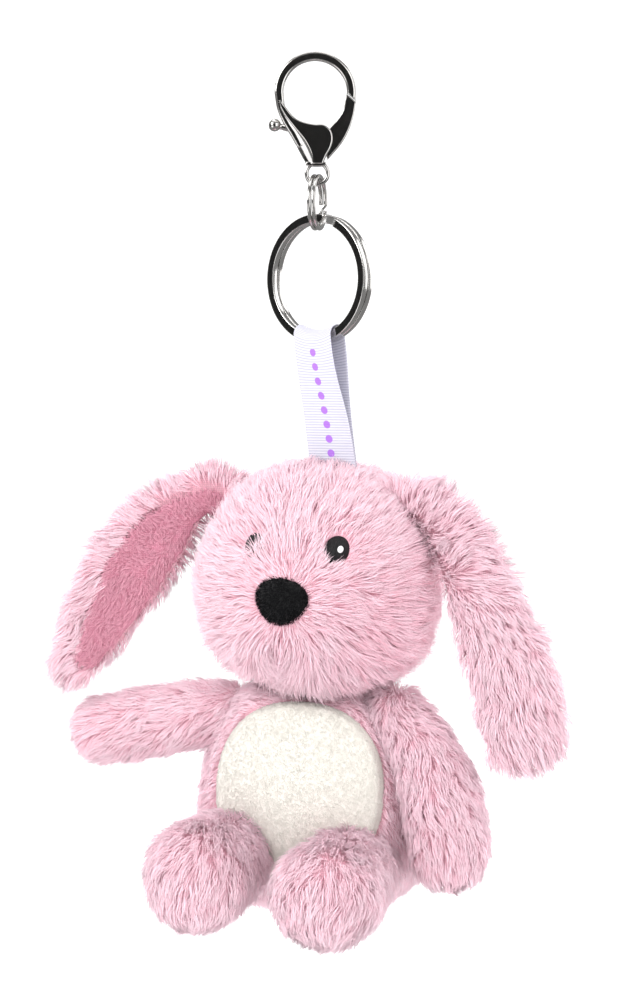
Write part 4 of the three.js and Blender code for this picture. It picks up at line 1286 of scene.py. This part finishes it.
def belly_material():
    n = Nodes("cream_velour", roughness=0.85, Sheen_Weight=0.4, Sheen_Roughness=0.45)
    slow = n.ramp(n.noise(9, detail=3), [(0.35, (0.78, 0.76, 0.70)), (0.65, (0.80, 0.78, 0.72))])
    grain = n.ramp(n.noise(0.35, detail=3), [(0.3, (0.88, 0.86, 0.84)), (0.7, (1, 1, 1))])
    n.to(n.mix("MULTIPLY", 0.7, slow, grain), "Base Color")
    n.to(n.range(n.noise(0.6), 0.3, 0.7, 0.78, 0.95), "Roughness")
    n.bump(n.noise(0.3, detail=3), 0.12)
    n.bump(n.noise(2.0, detail=2), 0.15, 0.5)
    return n.material


def add_limb(name, voxel, swell, length, density, down, seed):
    node = f"{name}_stuffing"
    skin = remeshed(f"{name}_skin", [node], swell, voxel)
    root = ROOTS[name]
    inflated(skin, 3.0, 0.6)

    def comb(points, normals):
        return tangent(unit(points - root) * 0.6 + np.array([0, 0, -down]), normals)

    def keep(points, normals):
        return (in_torso(points) > 0.93) * 1.0

    coat(f"{name}_fur", skin, name, plush_fibre, density, length, comb, keep, seed=seed)
    finish_piece(skin, name, plush_cloth, [f"{name}_cover", node])


# ---- ears ----
def gap_to(thing):
    """A test of how far points lie from an object's surface."""
    faces = [tuple(face.vertices) for face in thing.data.polygons]
    tree = BVHTree.FromPolygons([Vector(p) for p in points_of(thing)], faces)
    return lambda spots: np.array([tree.find_nearest(Vector(p))[3] for p in spots])


def add_ear(side, seed):
    name = f"ear_{side}"
    root = ROOTS[name]
    back = remeshed(f"{name}_back_skin", [f"{name}_back"], 0.1, 0.8)
    lining = remeshed(f"{name}_lining_skin", [f"{name}_lining"], 0.1, 0.45, 4)
    centre = middle(f"{name}_lining")
    shift = np.array([1.4 if side == "left" else -1.4, -0.3, -0.9])
    move_points(lining, (points_of(lining) - centre) * (0.86, 1, 0.9) + centre + shift)
    to_lining, to_back = gap_to(lining), gap_to(back)

    def comb(points, normals):
        outward = unit(points - centre)
        return tangent(unit(points - root) * 0.5 + outward * 0.7 + np.array([0, -0.2, -0.3]), normals)

    coat(f"{name}_fur", back, name, plush_fibre, 5.8, 5.4 if side == "left" else 6.2, comb,
         lambda p, n: (to_lining(p) > 0.9) * (in_head(p) > 0.95) * 1.0, seed=seed, lift=(38, 10),
         glow=(0, -0.55, 0.15))
    coat(f"{name}_lining_pile", lining, name, lining_fibre, 9.0, 1.7, comb,
         lambda p, n: (to_back(p) > 0.8) * (in_head(p) > 0.98) * 1.0, seed=seed + 1, lift=(44, 14), clump=1.5,
         gather=0.3, width=0.16, messy=0.3)
    finish_piece(back, name, plush_cloth, [f"{name}_back"])
    finish_piece(lining, name, lining_cloth, [f"{name}_lining"])


# ---- studio ----
def studio_material(name, shade, glow=0.0):
    n = Nodes(name, roughness=0.8)
    n.to(n.ramp(n.noise(60), [(0.3, (0.985 * shade,) * 3), (0.7, (shade,) * 3)]), "Base Color")
    n.shader.inputs["Emission Color"].default_value = (1, 1, 1, 1)
    n.shader.inputs["Emission Strength"].default_value = glow
    return n.material


def add_stage():
    """A pale sweep: level floor that curves up into a wall all round, open to the sky."""
    floor_z = -268.0
    flat, bend = 1100, 500
    profile = [(500, 0), (flat, 0)]
    for t in np.linspace(0.1, math.pi / 2, 12):
        profile.append((flat + bend * math.sin(t), bend - bend * math.cos(t)))
    profile.append((flat + bend, 2400))
    around = np.linspace(0, 2 * math.pi, 64, endpoint=False)
    rings = np.array([[(r * math.cos(a), r * math.sin(a), floor_z + h) for a in around] for r, h in profile])
    points = np.vstack([rings.reshape(-1, 3), [(0, 0, floor_z)]])
    faces = [tuple(f[::-1]) for f in grid_faces(len(rings), 64, True).tolist()]
    faces += [(len(points) - 1, j, (j + 1) % 64) for j in range(64)]
    sweep = new_object("studio_sweep", points, faces)
    sweep.data.materials.append(studio_material("pale_paper", 0.92, 0.22))
    sweep.visible_glossy = False


def dark_card(name, place, width, height, aim):
    signs = np.array([(-1, 0, -1), (1, 0, -1), (1, 0, 1), (-1, 0, 1)])
    card = new_object(name, signs * (width, 0, height) / 2, [(0, 1, 2, 3)])
    card.location = Vector(place) * MM
    card.rotation_euler = (Vector(aim) * MM - card.location).to_track_quat("Y", "Z").to_euler()
    card.data.materials.append(studio_material(f"{name}_cloth", 0.006))
    card.visible_camera = card.visible_diffuse = card.visible_shadow = False
    card.visible_transmission = False


def lamp(name, place, aim, width, height, power, colour=(1, 1, 1)):
    data = bpy.data.lights.new(name, "AREA")
    data.shape = "RECTANGLE"
    data.size, data.size_y = width * MM, height * MM
    data.energy = power
    data.color = colour
    thing = bpy.data.objects.new(name, data)
    bpy.context.collection.objects.link(thing)
    thing.location = Vector(place) * MM
    thing.rotation_euler = (Vector(aim) * MM - thing.location).to_track_quat("-Z", "Y").to_euler()
    return thing


def add_light():
    world = bpy.data.worlds.new("studio")
    world.use_nodes = True
    tree = world.node_tree
    tree.nodes["Background"].inputs["Color"].default_value = (1, 1, 1, 1)
    # Polished metal sees a darker room than the one that lights the cloth.
    path = tree.nodes.new("ShaderNodeLightPath")
    level = tree.nodes.new("ShaderNodeMapRange")
    level.inputs["To Min"].default_value = 0.52
    level.inputs["To Max"].default_value = 0.3
    tree.links.new(path.outputs["Is Glossy Ray"], level.inputs["Value"])
    tree.links.new(level.outputs["Result"], tree.nodes["Background"].inputs["Strength"])
    scene = bpy.context.scene
    scene.world = world
    scene.view_settings.view_transform = "Standard"
    aim = (0, 0, -120)
    lamp("key", (-420, -650, 330), aim, 500, 500, 4.3)
    lamp("fill", (620, -420, 60), aim, 500, 700, 1.9)
    lamp("top", (0, 80, 620), aim, 700, 700, 2.6)
    lamp("back_left", (-520, 420, 160), aim, 400, 700, 1.6)
    lamp("back_right", (560, 460, 120), aim, 400, 700, 1.6)
    lamp("low_left", (-330, -620, -330), aim, 420, 420, 0.9)
    dark_card("front_card", (290, -890, -80), 620, 900, aim)
    dark_card("side_card", (-880, -430, -60), 520, 800, aim)


add_clasp()
add_rings()
add_ribbon()
add_head()
add_face()
add_torso()
for side, seed in (("left", 61), ("right", 71)):
    add_ear(side, seed)
    add_limb(f"arm_{side}", 1.3, 1.6, 5.4, 5.8, 0.25, seed + 20)
    add_limb(f"leg_{side}", 1.5, 1.6, 5.6, 5.8, 0.8, seed + 40)
add_stage()
add_light()
